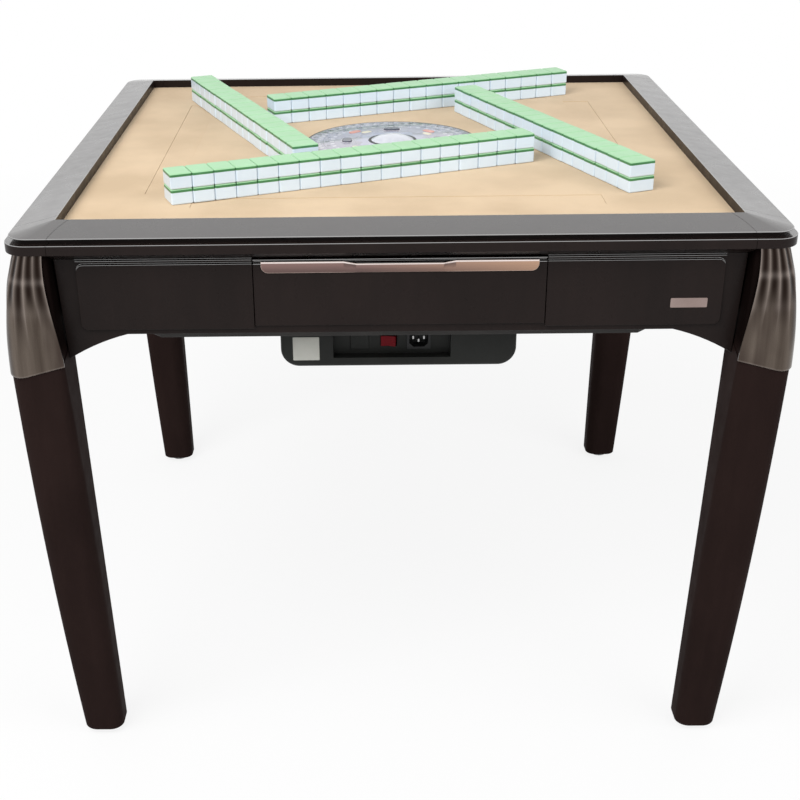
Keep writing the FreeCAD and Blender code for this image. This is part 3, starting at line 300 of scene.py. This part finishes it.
def rose_metal():
    """Brushed strip, rose to gold along the pull, with painted shade below and at the bends and a painted
    highlight along the upper edge.
    """
    surface = Surface("rose_metal", Metallic=1.0, Anisotropic=0.4)
    place = surface.node("ShaderNodeSeparateXYZ", {0: surface.place}).outputs
    facing = surface.node("ShaderNodeSeparateXYZ", {0: surface.place.node.outputs["Normal"]}).outputs
    outward = [surface.math("ROUND", facing[axis]) for axis in (0, 1)]
    rightward = surface.math("MULTIPLY", outward[0], place[1])
    along = surface.math("SUBTRACT", rightward, surface.math("MULTIPLY", outward[1], place[0]))
    # How far the face turns where the lip bends, for a painted shadow there
    lean = surface.math("SUBTRACT", surface.math("MULTIPLY", outward[0], facing[1]),
                        surface.math("MULTIPLY", outward[1], facing[0]))
    bend_shadow = surface.spread(surface.math("ABSOLUTE", lean), 0, 0.75, 0.1, 0.4)
    gold = surface.spread(along, 0, 1, -HANDLE_HALF * 0.3, HANDLE_HALF)
    lines = surface.noise(1.0, 4, (14, 14, 2600))
    plain = surface.mix(gold, (0.25, 0.155, 0.145), (0.54, 0.335, 0.225))
    tone = surface.mix(surface.spread(lines, 0, 0.3), plain, (0.36, 0.25, 0.21))
    middle = surface.math("SUBTRACT", place[2], HANDLE_MIDDLE)
    # Painted shade below the middle, less where the strip is gold, and painted shadow at the bends
    below = surface.spread(middle, 0.75, 0, *HANDLE_SHADE)
    low = surface.math("MULTIPLY", below, surface.spread(gold, 1, 0.3, 0, 1))
    shaded = surface.mix(surface.math("MAXIMUM", low, bend_shadow), tone, (0.12, 0.082, 0.076))
    # Painted highlight along the upper edge
    edge = surface.spread(middle, 0, 1, *HANDLE_HIGHLIGHT)
    surface.feed("Base Color", surface.mix(edge, shaded, (0.95, 0.84, 0.80)))
    surface.feed("Roughness", surface.spread(lines, 0.24, 0.4))
    surface.bump(lines, 0.06, 0.0002)
    return surface.material


def grained(name, dark, light, rough, metal=0.0, grain=900, gloss=0.3):
    """Moulded plastic or paint with a fine grain and some unevenness."""
    surface = Surface(name, Metallic=metal, Specular_IOR_Level=gloss)
    cloud = surface.spread(surface.noise(14, 4), 0, 1)
    speck = surface.noise(grain, 2)
    surface.feed("Base Color", surface.mix(cloud, dark, light))
    surface.feed("Roughness", surface.spread(speck, rough - 0.08, rough + 0.08))
    surface.bump(speck, 0.12, 0.0003)
    return surface.material


def steel():
    """Zinc-plated steel with fine drawn lines."""
    surface = Surface("zinc_steel", Metallic=1.0)
    lines = surface.noise(700, 3, (1, 1, 0.1))
    tone = surface.mix(surface.spread(lines, 0, 1), (0.36, 0.36, 0.37), (0.55, 0.55, 0.54))
    surface.feed("Base Color", tone)
    surface.feed("Roughness", surface.spread(lines, 0.28, 0.45))
    return surface.material


def clear(name, share):
    """Clear or smoked moulding that lets that share of the light through."""
    surface = Surface(name, Transmission_Weight=share, IOR=1.46, Specular_IOR_Level=0.5)
    haze = surface.noise(120, 3)
    tone = surface.mix(surface.spread(haze, 0, 1), (0.72, 0.74, 0.82), (0.84, 0.86, 0.92))
    surface.feed("Base Color", tone)
    surface.feed("Roughness", surface.spread(haze, 0.04, 0.12))
    return surface.material


def disc_print():
    """Lit panel with a generic ring pattern: petals, bands of dashes and an outer row of ticks."""
    surface = Surface("disc_print", Specular_IOR_Level=0.5, Coat_Weight=0.5, Coat_Roughness=0.06)
    in_plan = {0: surface.place, 1: (1, 1, 0)}
    flat = surface.node("ShaderNodeVectorMath", in_plan, operation="MULTIPLY").outputs[0]
    radius = surface.node("ShaderNodeVectorMath", {0: flat}, operation="LENGTH").outputs["Value"]
    axes = surface.node("ShaderNodeSeparateXYZ", {0: surface.place}).outputs
    angle = surface.math("ARCTAN2", axes[1], axes[0])

    def band(low, high):
        over = surface.math("GREATER_THAN", radius, low)
        under = surface.math("LESS_THAN", radius, high)
        return surface.math("MULTIPLY", over, under)

    def dashes(count, share):
        wave = surface.math("COSINE", surface.math("MULTIPLY", angle, float(count)))
        return surface.math("GREATER_THAN", wave, share)

    def marks(low, high, count, share):
        return surface.math("MULTIPLY", band(low, high), dashes(count, share))

    wave = surface.math("COSINE", surface.math("MULTIPLY", angle, float(PETALS)))
    swell = surface.math("MULTIPLY", wave, PETAL_SWELL)
    petals = surface.math("LESS_THAN", radius, surface.math("ADD", swell, PETAL_RADIUS))
    cloud = surface.spread(surface.noise(30, 4), 0, 1)
    colour = surface.mix(cloud, (0.25, 0.24, 0.31), (0.36, 0.345, 0.42))
    layers = (
        (petals, (0.33, 0.34, 0.46)),
        (band(0.0560, 0.0568), (0.16, 0.15, 0.2)),
        (marks(0.0880, 0.0935, 40, 0.2), (0.50, 0.49, 0.56)),
        (marks(0.0955, 0.1010, 24, 0.35), (0.15, 0.14, 0.20)),
        (band(0.1035, 0.1044), (0.10, 0.09, 0.13)),
        (marks(0.1080, 0.1135, 56, 0.0), (0.50, 0.48, 0.52)),
        (marks(0.1150, 0.1235, 48, 0.1), (0.085, 0.07, 0.085)),
        (band(0.1250, 0.1300), (0.20, 0.165, 0.165)),
    )
    for share, shade in layers:
        colour = surface.mix(share, colour, shade)
    surface.feed("Base Color", colour)
    surface.feed("Roughness", surface.spread(surface.noise(300, 2), 0.16, 0.26))
    surface.bump(surface.noise(500, 2), 0.02, 0.0002)
    return surface.material


WHITE_RESIN = resin("white_resin", (0.655, 0.775, 0.885), (0.69, 0.81, 0.92), 0.24)
# One green back in two copies, a lighter one for the upward faces and a darker one for the sides: painted
# light and shade
GREEN_LIT_TOP = resin("green_lit_top", (0.305, 0.555, 0.315), (0.335, 0.595, 0.35), 0.4, coat=0)
GREEN_SHADED_SIDE = resin("green_shaded_side", (0.045, 0.18, 0.065), (0.065, 0.23, 0.09), 0.3)
PALE_TRIM = grained("pale_trim", (0.50, 0.49, 0.53), (0.6, 0.59, 0.63), 0.3)
DARK_WOOD = ((0.0105, 0.0075, 0.0069), (0.016, 0.0107, 0.0097))
LEG_WOOD = ((0.0146, 0.0090, 0.0082), (0.0217, 0.0130, 0.0117))
LEG_LACQUER = lacquer("leg_lacquer", *LEG_WOOD, 0.005, 0.5, painted_shade_above=LEG_SHADE)
EDGE_LACQUER = lacquer("polished_edge", *DARK_WOOD, 0.1, 0.3, polish=6.5, upright=0.08, shine=EDGE_SHINE)
# Lighter metal for the pulls' bevels: a painted highlight along their edges
PULL_EDGE_HIGHLIGHT = grained("pull_edge_highlight", (0.72, 0.56, 0.48), (0.84, 0.68, 0.60), 0.24, metal=1.0, grain=1800)
SMOKED = clear("smoked_dome", 0.35)
BY_SLOT = {
    "lacquered_wood": lacquer("espresso_lacquer", *DARK_WOOD, 0.1, 0.3),
    "drawer_box": grained("drawer_lining", (0.03, 0.022, 0.018), (0.05, 0.036, 0.03), 0.6, grain=500),
    "rose_metal": rose_metal(),
    "lift_plate": felt(),
    "button_plastic": resin("button_resin", (0.05, 0.052, 0.085), (0.08, 0.08, 0.12), 0.2),
    "tile_resin": WHITE_RESIN,
    "board_wood": grained("board_wood", (0.2, 0.13, 0.07), (0.3, 0.2, 0.12), 0.6, grain=300),
    "felt": felt(),
    "steel": steel(),
    "black_plastic": grained("black_plastic", (0.008, 0.008, 0.009), (0.014, 0.014, 0.015), 0.42),
    "bronze_plating": bronze(),
    "glide_plastic": grained("glide_plastic", (0.35, 0.35, 0.36), (0.5, 0.5, 0.5), 0.45),
    "runner_plastic": grained("runner_plastic", (0.4, 0.4, 0.38), (0.55, 0.55, 0.52), 0.5),
    "disc_plastic": disc_print(),
    "clear_plastic": clear("clear_moulding", 0.85),
    "pan_metal": grained("pan_paint", (0.022, 0.02, 0.019), (0.036, 0.033, 0.031), 0.5, grain=1500),
    "base_plastic": grained(
        "base_plastic", (0.012, 0.0125, 0.0115), (0.019, 0.02, 0.0185), 0.45, grain=1200, gloss=0.15,
    ),
    "red_plastic": grained("red_lens", (0.12, 0.006, 0.010), (0.17, 0.010, 0.015), 0.4, gloss=0.06),
    "tub_plastic": grained("tub_plastic", (0.05, 0.05, 0.055), (0.08, 0.08, 0.085), 0.5),
    "drive_rubber": grained("drive_rubber", (0.012, 0.012, 0.012), (0.02, 0.02, 0.02), 0.7),
}


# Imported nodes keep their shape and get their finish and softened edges

EDGE_ROUNDS = {
    "rim": 0.0016, "apron": 0.0024, "drawer_front": 0.0018, "drawer_box": 0.0006,
    "drawer_handle": 0.0007, "leg_front": 0.0012, "leg_back": 0.0012, "levelling": 0.001,
    "bottom_pan": 0.0008, "base_box": 0.0012, "power_inlet": 0.0005, "power_rocker": 0.0006,
    "seat_button": 0.0012, "disc_base": 0.0005, "disc_ring": 0.0004, "dice": 0.0012,
}
# Bevel finishes: a glossier coat on the lacquered rim, aprons and drawer fronts, and on the pulls a
# painted highlight
EDGE_POLISH_AND_HIGHLIGHT = {
    "rim": EDGE_LACQUER,
    "apron": EDGE_LACQUER,
    "drawer_front": EDGE_LACQUER,
    "drawer_handle": PULL_EDGE_HIGHLIGHT,
}
FLAT_SIDED = ("rim", "apron", "drawer", "bottom_pan", "base_box", "power")

# Rim: its outline, how straight an edge along it runs, and where the sharp groove lies
RIM_HALF = -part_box("rim_rail_front")[0].y
RIM_ROUND = 0.030
ALONG_RIM = 0.2
GROOVE_INSET = 0.008
CROWN_FOOT = RIM_TOP - 0.009

# Softening of edges
SHARP_EDGE = math.radians(35)
FLAT_JOIN = math.radians(1)
WELD_GAP = 0.00002
EDGE_STEPS = 3


def inset(point):
    """Distance in from the rim's outer edge, a square with rounded corners."""
    past = [abs(value) - (RIM_HALF - RIM_ROUND) for value in point.xy]
    outside = math.hypot(*(max(value, 0) for value in past))
    return RIM_ROUND - outside - min(max(past), 0)


def weigh_rim_edges(mesh):
    """Mark the edges along the rim, so that a bevel leaves the seams and the groove's corner alone."""
    weights = mesh.attributes.new("bevel_weight_edge", "FLOAT", "EDGE")
    for edge in mesh.edges:
        start, end = (mesh.vertices[index].co for index in edge.vertices)
        across = abs(inset(start) - inset(end)) + abs(start.z - end.z)
        along = across < ALONG_RIM * (start - end).length
        outer = inset(start) < GROOVE_INSET or start.z > CROWN_FOOT
        weights.data[edge.index].value = float(along and outer)


def soften(item, name, width):
    """Weld the faces, join the flat ones and round the edges."""
    weld = item.modifiers.new("weld", "WELD")
    weld.merge_threshold = WELD_GAP
    if name.startswith(FLAT_SIDED):
        flat = item.modifiers.new("flat", "DECIMATE")
        flat.decimate_type = "DISSOLVE"
        flat.angle_limit = FLAT_JOIN
    bevel = item.modifiers.new("edge", "BEVEL")
    bevel.width = width
    bevel.segments = EDGE_STEPS
    bevel.limit_method = "ANGLE"
    bevel.angle_limit = SHARP_EDGE
    bevel.use_clamp_overlap = True
    if name.startswith("rim"):
        weigh_rim_edges(item.data)
        bevel.limit_method = "WEIGHT"
        seams = item.modifiers.new("seams", "EDGE_SPLIT")
        seams.split_angle = SHARP_EDGE
    normals = item.modifiers.new("shade", "WEIGHTED_NORMAL")
    normals.keep_sharp = False
    return bevel


def dress_nodes():
    """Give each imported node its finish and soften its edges."""
    for row in frame["record"]["subparts"]:
        name = row["node"]
        item = NODES[name]
        finish = BY_SLOT[row["material_slot"]]
        if name.startswith("leg_") and row["material_slot"] == "lacquered_wood":
            finish = LEG_LACQUER
        if name == "disc_dome":
            finish = SMOKED
        item.data.materials.clear()
        item.data.materials.append(finish)
        for start, width in EDGE_ROUNDS.items():
            if name.startswith(start):
                bevel = soften(item, name, width)
                if start in EDGE_POLISH_AND_HIGHLIGHT:
                    item.data.materials.append(EDGE_POLISH_AND_HIGHLIGHT[start])
                    bevel.material = 1


# New pieces

def new_piece(name, shape, materials, body):
    """Turn a shape into a smooth piece that rides on a body."""
    mesh = bpy.data.meshes.new(name)
    shape.to_mesh(mesh)
    shape.free()
    item = bpy.data.objects.new(name, mesh)
    bpy.context.scene.collection.objects.link(item)
    for material in materials:
        mesh.materials.append(material)
    for polygon in mesh.polygons:
        polygon.use_smooth = True
    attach(item, body)
    return item


def round_edges(shape, edges, width, steps):
    """Round those edges of a shape."""
    bmesh.ops.bevel(shape, geom=edges, offset=width, segments=steps, profile=0.5, affect="EDGES")


def tile_mesh():
    """One tile on its face: white body, coloured back on top, all edges rounded."""
    shape = bmesh.new()
    bmesh.ops.create_cube(shape, size=1)
    bmesh.ops.scale(shape, vec=TILE, verts=shape.verts)
    bmesh.ops.translate(shape, vec=(0, 0, TILE.z / 2), verts=shape.verts)
    round_edges(shape, shape.edges[:], TILE_ROUND, 4)
    join = TILE.z - TILE_BACK
    geometry = shape.verts[:] + shape.edges[:] + shape.faces[:]
    bmesh.ops.bisect_plane(shape, geom=geometry, plane_co=(0, 0, join), plane_no=(0, 0, 1))
    for face in shape.faces:
        if face.calc_center_median().z > join:
            # Upward faces of the back take the lit green and the rest take the shaded green: painted light
            # and shade
            face.material_index = 1 if face.normal.z > TILE_FACE_UPWARD else 2
    mesh = bpy.data.meshes.new("tile")
    shape.to_mesh(mesh)
    shape.free()
    return mesh


def make_tile_walls():
    """Four walls of loosely squared tiles, each one piece on its own body."""
    tile = tile_mesh()
    finishes = (WHITE_RESIN, GREEN_LIT_TOP, GREEN_SHADED_SIDE)
    draw = random.Random(TILE_SEED)
    for turns, side in enumerate(SIDES):
        wall = bmesh.new()
        for layer in range(TILE_LAYERS):
            for number in range(TILES_IN_ROW):
                known = len(wall.verts)
                wall.from_mesh(tile)
                wall.verts.ensure_lookup_table()
                along = -WALL_SHIFT + TILE_PITCH * (number + 0.5 - TILES_IN_ROW / 2)
                along += draw.uniform(-LOOSE_ALONG, LOOSE_ALONG)
                across = -WALL_REACH + draw.uniform(-LOOSE_ACROSS, LOOSE_ACROSS)
                bmesh.ops.translate(wall, vec=(along, across, TILE.z * layer), verts=wall.verts[known:])
        place = Matrix.Translation(WALL_CENTRE) @ Matrix.Rotation(WALL_ANGLE + QUARTER * turns, 4, "Z")
        bmesh.ops.transform(wall, matrix=place, verts=wall.verts)
        piece = new_piece(f"tiles_{side}", wall, finishes, f"wall_{side}")
        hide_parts(f"tile_wall_{side}")
        normals = piece.modifiers.new("shade", "WEIGHTED_NORMAL")
        normals.keep_sharp = False
    bpy.data.meshes.remove(tile)


def through_stations(drop, column):
    """Smooth curve through one column of the cap's stations, at a drop below the rim's top."""
    total = 0
    for here in CAP_STATIONS:
        weight = 1
        for other in CAP_STATIONS:
            if other is not here:
                weight *= (drop - other[0]) / (here[0] - other[0])
        total += weight * here[column]
    return total


def cap_point(share, drop):
    """Point of the shell's plain outer face and its outward normal; share runs from edge to edge."""
    inner, outer = through_stations(drop, 1), through_stations(drop, 2)
    straight = outer - CAP_ROUND - inner
    arc = CAP_ROUND * QUARTER
    run = share * (2 * straight + arc)
    if run < straight:
        return Vector((inner + run, outer, 0)), Vector((0, 1, 0))
    if run < straight + arc:
        turn = QUARTER - (run - straight) / CAP_ROUND
        normal = Vector((math.cos(turn), math.sin(turn), 0))
        centre = outer - CAP_ROUND
        return Vector((centre, centre, 0)) + normal * CAP_ROUND, normal
    return Vector((outer, outer - CAP_ROUND - (run - straight - arc), 0)), Vector((1, 0, 0))


def flute(share, drop, low):
    """Depth of the drawn-in neck and of the flutes, the patina down in them, and the ridges worn bright
    under painted highlights, with painted highlight bands and a painted highlight along the hem.
    """
    along = (drop - CAP_STATIONS[0][0]) / (low - CAP_STATIONS[0][0])
    count = len(FLUTE_ENDS)
    end = FLUTE_ENDS[min(int(share * count), count - 1)]
    run = min(1, max(0, (end - along) / (end - FLUTE_START)))
    fade = run * run * (3 - 2 * run)
    channel = abs(math.sin(math.pi * count * share))
    neck = 1 / (1 + math.exp((drop - NECK_DROP) / NECK_SOFTNESS))
    # Ridges partly worn bright, partly painted highlight; the bands and the hem are painted highlights
    # only
    wear_and_highlight = RIDGE_WEAR_AND_HIGHLIGHT * fade * (1 - channel) ** 2
    for place, half, strength in PAINTED_HIGHLIGHT_BANDS:
        wear_and_highlight += strength * (1 - BAND_LOSS * channel) * math.exp(-(((drop - place) / half) ** 2))
    if along > HEM_START:
        wear_and_highlight += HEM_PAINTED_HIGHLIGHT
    depth = FLUTE_DEPTH * fade * channel + NECK_DEPTH * neck
    return depth, fade * channel ** (0.6 + 2 * along * along), min(1, wear_and_highlight)


def cap_mesh():
    """Fluted shell for the corner where x and y are positive."""
    shape = bmesh.new()
    patina = shape.verts.layers.float.new(PATINA)
    # This layer holds the worn ridges and the painted highlights
    polish = shape.verts.layers.float.new(WEAR_AND_HIGHLIGHT)
    grid = []
    for column in range(CAP_COLUMNS + 1):
        share = column / CAP_COLUMNS
        # The lower edge slants with the leg's taper, which a few rounds settle
        low = CAP_DROP
        for _ in range(3):
            point, _normal = cap_point(share, low)
            inward = (2 * CAP_CORNER - point.x - point.y) / math.sqrt(2)
            low = CAP_DROP - inward * CAP_SLOPE
        line = []
        for row in range(CAP_ROWS + 1):
            drop = CAP_STATIONS[0][0] + (low - CAP_STATIONS[0][0]) * row / CAP_ROWS
            point, normal = cap_point(share, drop)
            depth, worn, wear_and_highlight = flute(share, drop, low)
            vertex = shape.verts.new(point - normal * depth + Vector((0, 0, RIM_TOP - drop)))
            vertex[patina] = worn
            vertex[polish] = wear_and_highlight
            line.append(vertex)
        grid.append(line)
    for left, right in zip(grid, grid[1:]):
        for row in range(CAP_ROWS):
            shape.faces.new((left[row], left[row + 1], right[row + 1], right[row]))
    return shape


def make_caps():
    """One fluted shell on each leg's outer corner."""
    plating = [BY_SLOT["bronze_plating"]]
    for turns, corner in enumerate(CORNERS, start=2):
        shape = cap_mesh()
        bmesh.ops.transform(shape, matrix=Matrix.Rotation(QUARTER * turns, 4, "Z"), verts=shape.verts)
        bmesh.ops.recalc_face_normals(shape, faces=shape.faces[:])
        piece = new_piece(f"cap_{corner}", shape, plating, "table_frame")
        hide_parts("leg_caps")
        shell = piece.modifiers.new("sheet", "SOLIDIFY")
        shell.thickness = CAP_SHEET
        shell.offset = -1


def plate_mesh(size, rounding, thick):
    """Thin upright plate facing -Y, centred on the origin, with rounded corners and a softened rim."""
    shape = bmesh.new()
    bmesh.ops.create_cube(shape, size=1)
    bmesh.ops.scale(shape, vec=(size[0], thick, size[1]), verts=shape.verts)
    upright = [e for e in shape.edges if abs((e.verts[0].co - e.verts[1].co).normalized().y) > 0.9]
    round_edges(shape, upright, rounding, 5)
    front = [e for e in shape.edges if all(v.co.y < 0 for v in e.verts)]
    round_edges(shape, front, thick * 0.35, 2)
    return shape


def make_plates():
    """The blank badge on the front apron and the blank label on the electrical box."""
    bright = grained("badge_metal", (0.30, 0.225, 0.205), (0.40, 0.31, 0.285), 0.32, metal=1.0, grain=1800)
    shape = plate_mesh(BADGE_SIZE, BADGE_ROUND, BADGE_THICK)
    bmesh.ops.translate(shape, vec=BADGE_PLACE, verts=shape.verts)
    badge = new_piece("apron_badge_blank", shape, [bright], "table_frame")
    badge.modifiers.new("shade", "WEIGHTED_NORMAL")
    paper = grained("label_paper", (0.40, 0.40, 0.36), (0.5, 0.5, 0.46), 0.7, grain=2500)
    shape = plate_mesh(LABEL_SIZE, LABEL_ROUND, LABEL_THICK)
    bmesh.ops.translate(shape, vec=LABEL_PLACE, verts=shape.verts)
    new_piece("base_label_blank", shape, [paper], "table_frame")


def oval_points(long, wide, count=40):
    """Rounded-end oval, its long side along X."""
    straight = (long - wide) / 2
    points = []
    for step in range(count):
        angle = 2 * math.pi * step / count
        shift = straight if math.cos(angle) >= 0 else -straight
        points.append((shift + wide / 2 * math.cos(angle), wide / 2 * math.sin(angle)))
    return points


def bridge(shape, low, high):
    """Faces between two closed rings of as many points."""
    for index in range(len(low)):
        after = (index + 1) % len(low)
        shape.faces.new((low[index], low[after], high[after], high[index]))


def lens_mesh(long, wide, rise):
    """Low oval lens with a rounded edge, sunk a little below z = 0."""
    shape = bmesh.new()
    rings = []
    for shrink, height in ((1, -TRIM_SUNK), (1, rise * 0.5), (0.93, rise * 0.85), (0.8, rise)):
        points = oval_points(long * shrink, wide * shrink)
        rings.append([shape.verts.new((x, y, height)) for x, y in points])
    for low, high in zip(rings, rings[1:]):
        bridge(shape, low, high)
    shape.faces.new(rings[-1])
    shape.faces.new(list(reversed(rings[0])))
    return shape


def bezel_mesh(long, wide, border, rise):
    """Raised oval ring round a button."""
    shape = bmesh.new()
    inner_side = ((0, -TRIM_SUNK), (0, rise * 0.6), (border * 0.3, rise))
    outer_side = ((border * 0.7, rise), (border, rise * 0.5), (border, -TRIM_SUNK))
    rings = []
    for out, height in inner_side + outer_side:
        points = oval_points(long + 2 * out, wide + 2 * out)
        rings.append([shape.verts.new((x, y, height)) for x, y in points])
    for low, high in zip(rings, rings[1:] + rings[:1]):
        bridge(shape, low, high)
    bmesh.ops.recalc_face_normals(shape, faces=shape.faces[:])
    return shape


def on_disc(reach, angle):
    """Place on the sloping ring at that reach and angle, the piece's -Y side facing the rim."""
    height = RING_TOP + (LAMP_REACH - reach) * DISC_SLOPE
    spin = Matrix.Rotation(angle + QUARTER, 4, "Z")
    tilt = Matrix.Rotation(-DISC_SLOPE, 4, "X")
    return spin @ Matrix.Translation((0, -reach, height)) @ tilt


def make_disc_trim():
    """A bezel, a lamp and an indicator for each side."""
    lamp = resin("lamp_lens", (0.52, 0.19, 0.14), (0.66, 0.33, 0.29), 0.2)
    amber = resin("amber_lens", (0.60, 0.56, 0.42), (0.68, 0.64, 0.5), 0.25)
    for turns, side in enumerate(SIDES):
        middle = -QUARTER + QUARTER * turns
        bezel = bezel_mesh(BUTTON_LONG + BEZEL_GAP, BUTTON_WIDE + BEZEL_GAP, BEZEL_BORDER, BEZEL_RISE)
        pieces = (
            ("button_bezel", bezel, PALE_TRIM, BUTTON_REACH, 0),
            ("lamp", lens_mesh(*LAMP_LENS), lamp, LAMP_REACH, LAMP_TURN),
            ("indicator", lens_mesh(*INDICATOR_LENS), amber, INDICATOR_REACH, INDICATOR_TURN),
        )
        for name, shape, material, reach, turn in pieces:
            bmesh.ops.transform(shape, matrix=on_disc(reach, middle + turn), verts=shape.verts)
            new_piece(f"{name}_{side}", shape, [material], "control_disc")


# Studio

def make_camera():
    """The photograph's camera, turned by its yaw, pitch and roll."""
    sin, cos = math.sin, math.cos
    level = cos(CAMERA_PITCH)
    forward = Vector((-sin(CAMERA_YAW) * level, cos(CAMERA_YAW) * level, -sin(CAMERA_PITCH)))
    right = Vector((cos(CAMERA_YAW), sin(CAMERA_YAW), 0))
    down = forward.cross(right)
    across = right * cos(CAMERA_ROLL) + down * sin(CAMERA_ROLL)
    below = down * cos(CAMERA_ROLL) - right * sin(CAMERA_ROLL)
    data = bpy.data.cameras.new("camera")
    data.sensor_width = SENSOR
    data.lens = FOCAL_PIXELS / FRAME_PIXELS * SENSOR
    data.shift_x = 0.5 - AXIS_PIXEL[0] / FRAME_PIXELS
    data.shift_y = AXIS_PIXEL[1] / FRAME_PIXELS - 0.5
    camera = bpy.data.objects.new("camera", data)
    turn = Matrix((across, -below, -forward)).transposed().to_4x4()
    camera.matrix_world = Matrix.Translation(CAMERA_PLACE) @ turn
    bpy.context.scene.collection.objects.link(camera)
    bpy.context.scene.camera = camera


def add_light(name, place, aim, size, power, mirrored):
    """A rectangular light that looks at its aim."""
    data = bpy.data.lights.new(name, "AREA")
    data.shape = "RECTANGLE"
    data.size, data.size_y = size
    data.energy = power
    light = bpy.data.objects.new(name, data)
    light.location = place
    light.rotation_euler = (Vector(aim) - Vector(place)).to_track_quat("-Z", "Y").to_euler()
    light.visible_glossy = mirrored
    bpy.context.scene.collection.objects.link(light)


def seen_directly(tree):
    """One for rays from the camera and for rays that a mirror or a clear piece passes on."""
    ray = tree.nodes.new("ShaderNodeLightPath").outputs
    total = ray["Is Camera Ray"]
    for name in ("Is Glossy Ray", "Is Transmission Ray"):
        either = tree.nodes.new("ShaderNodeMath")
        either.operation = "MAXIMUM"
        tree.links.new(total, either.inputs[0])
        tree.links.new(ray[name], either.inputs[1])
        total = either.outputs[0]
    return total


def floor_paint():
    """Pale floor that keeps a soft shadow under the table and fades into the white backdrop."""
    material = bpy.data.materials.new("floor_paint")
    material.use_nodes = True
    tree = material.node_tree
    tree.nodes.clear()
    paint = tree.nodes.new("ShaderNodeBsdfDiffuse")
    paint.inputs["Color"].default_value = (FLOOR_GREY, FLOOR_GREY, FLOOR_GREY, 1)
    glow = tree.nodes.new("ShaderNodeEmission")
    share = tree.nodes.new("ShaderNodeMath")
    share.operation = "MULTIPLY"
    away = tree.nodes.new("ShaderNodeVectorMath")
    away.operation = "LENGTH"
    tree.links.new(tree.nodes.new("ShaderNodeTexCoord").outputs["Object"], away.inputs[0])
    fade = tree.nodes.new("ShaderNodeMapRange")
    for socket, value in FLOOR_FADE.items():
        fade.inputs[socket].default_value = value
    tree.links.new(away.outputs["Value"], fade.inputs["Value"])
    tree.links.new(seen_directly(tree), share.inputs[0])
    tree.links.new(fade.outputs[0], share.inputs[1])
    blend = tree.nodes.new("ShaderNodeMixShader")
    tree.links.new(share.outputs[0], blend.inputs[0])
    tree.links.new(paint.outputs[0], blend.inputs[1])
    tree.links.new(glow.outputs[0], blend.inputs[2])
    output = tree.nodes.new("ShaderNodeOutputMaterial")
    tree.links.new(blend.outputs[0], output.inputs["Surface"])
    return material


def make_studio():
    """White backdrop, pale floor and soft lights."""
    scene = bpy.context.scene
    scene.view_settings.view_transform = "Standard"
    world = bpy.data.worlds.new("studio")
    scene.world = world
    world.use_nodes = True
    tree = world.node_tree
    background = tree.nodes["Background"]
    background.inputs["Color"].default_value = (1, 1, 1, 1)
    level = tree.nodes.new("ShaderNodeMapRange")
    level.inputs["To Min"].default_value = WORLD_LIGHT
    level.inputs["To Max"].default_value = BACKDROP
    tree.links.new(seen_directly(tree), level.inputs["Value"])
    tree.links.new(level.outputs[0], background.inputs["Strength"])

    shape = bmesh.new()
    bmesh.ops.create_grid(shape, x_segments=1, y_segments=1, size=FLOOR_HALF)
    mesh = bpy.data.meshes.new("floor")
    shape.to_mesh(mesh)
    shape.free()
    floor = bpy.data.objects.new("floor", mesh)
    scene.collection.objects.link(floor)
    mesh.materials.append(floor_paint())

    for light in LIGHTS:
        add_light(*light)


make_camera()
dress_nodes()
make_tile_walls()
make_caps()
make_plates()
make_disc_trim()
make_studio()
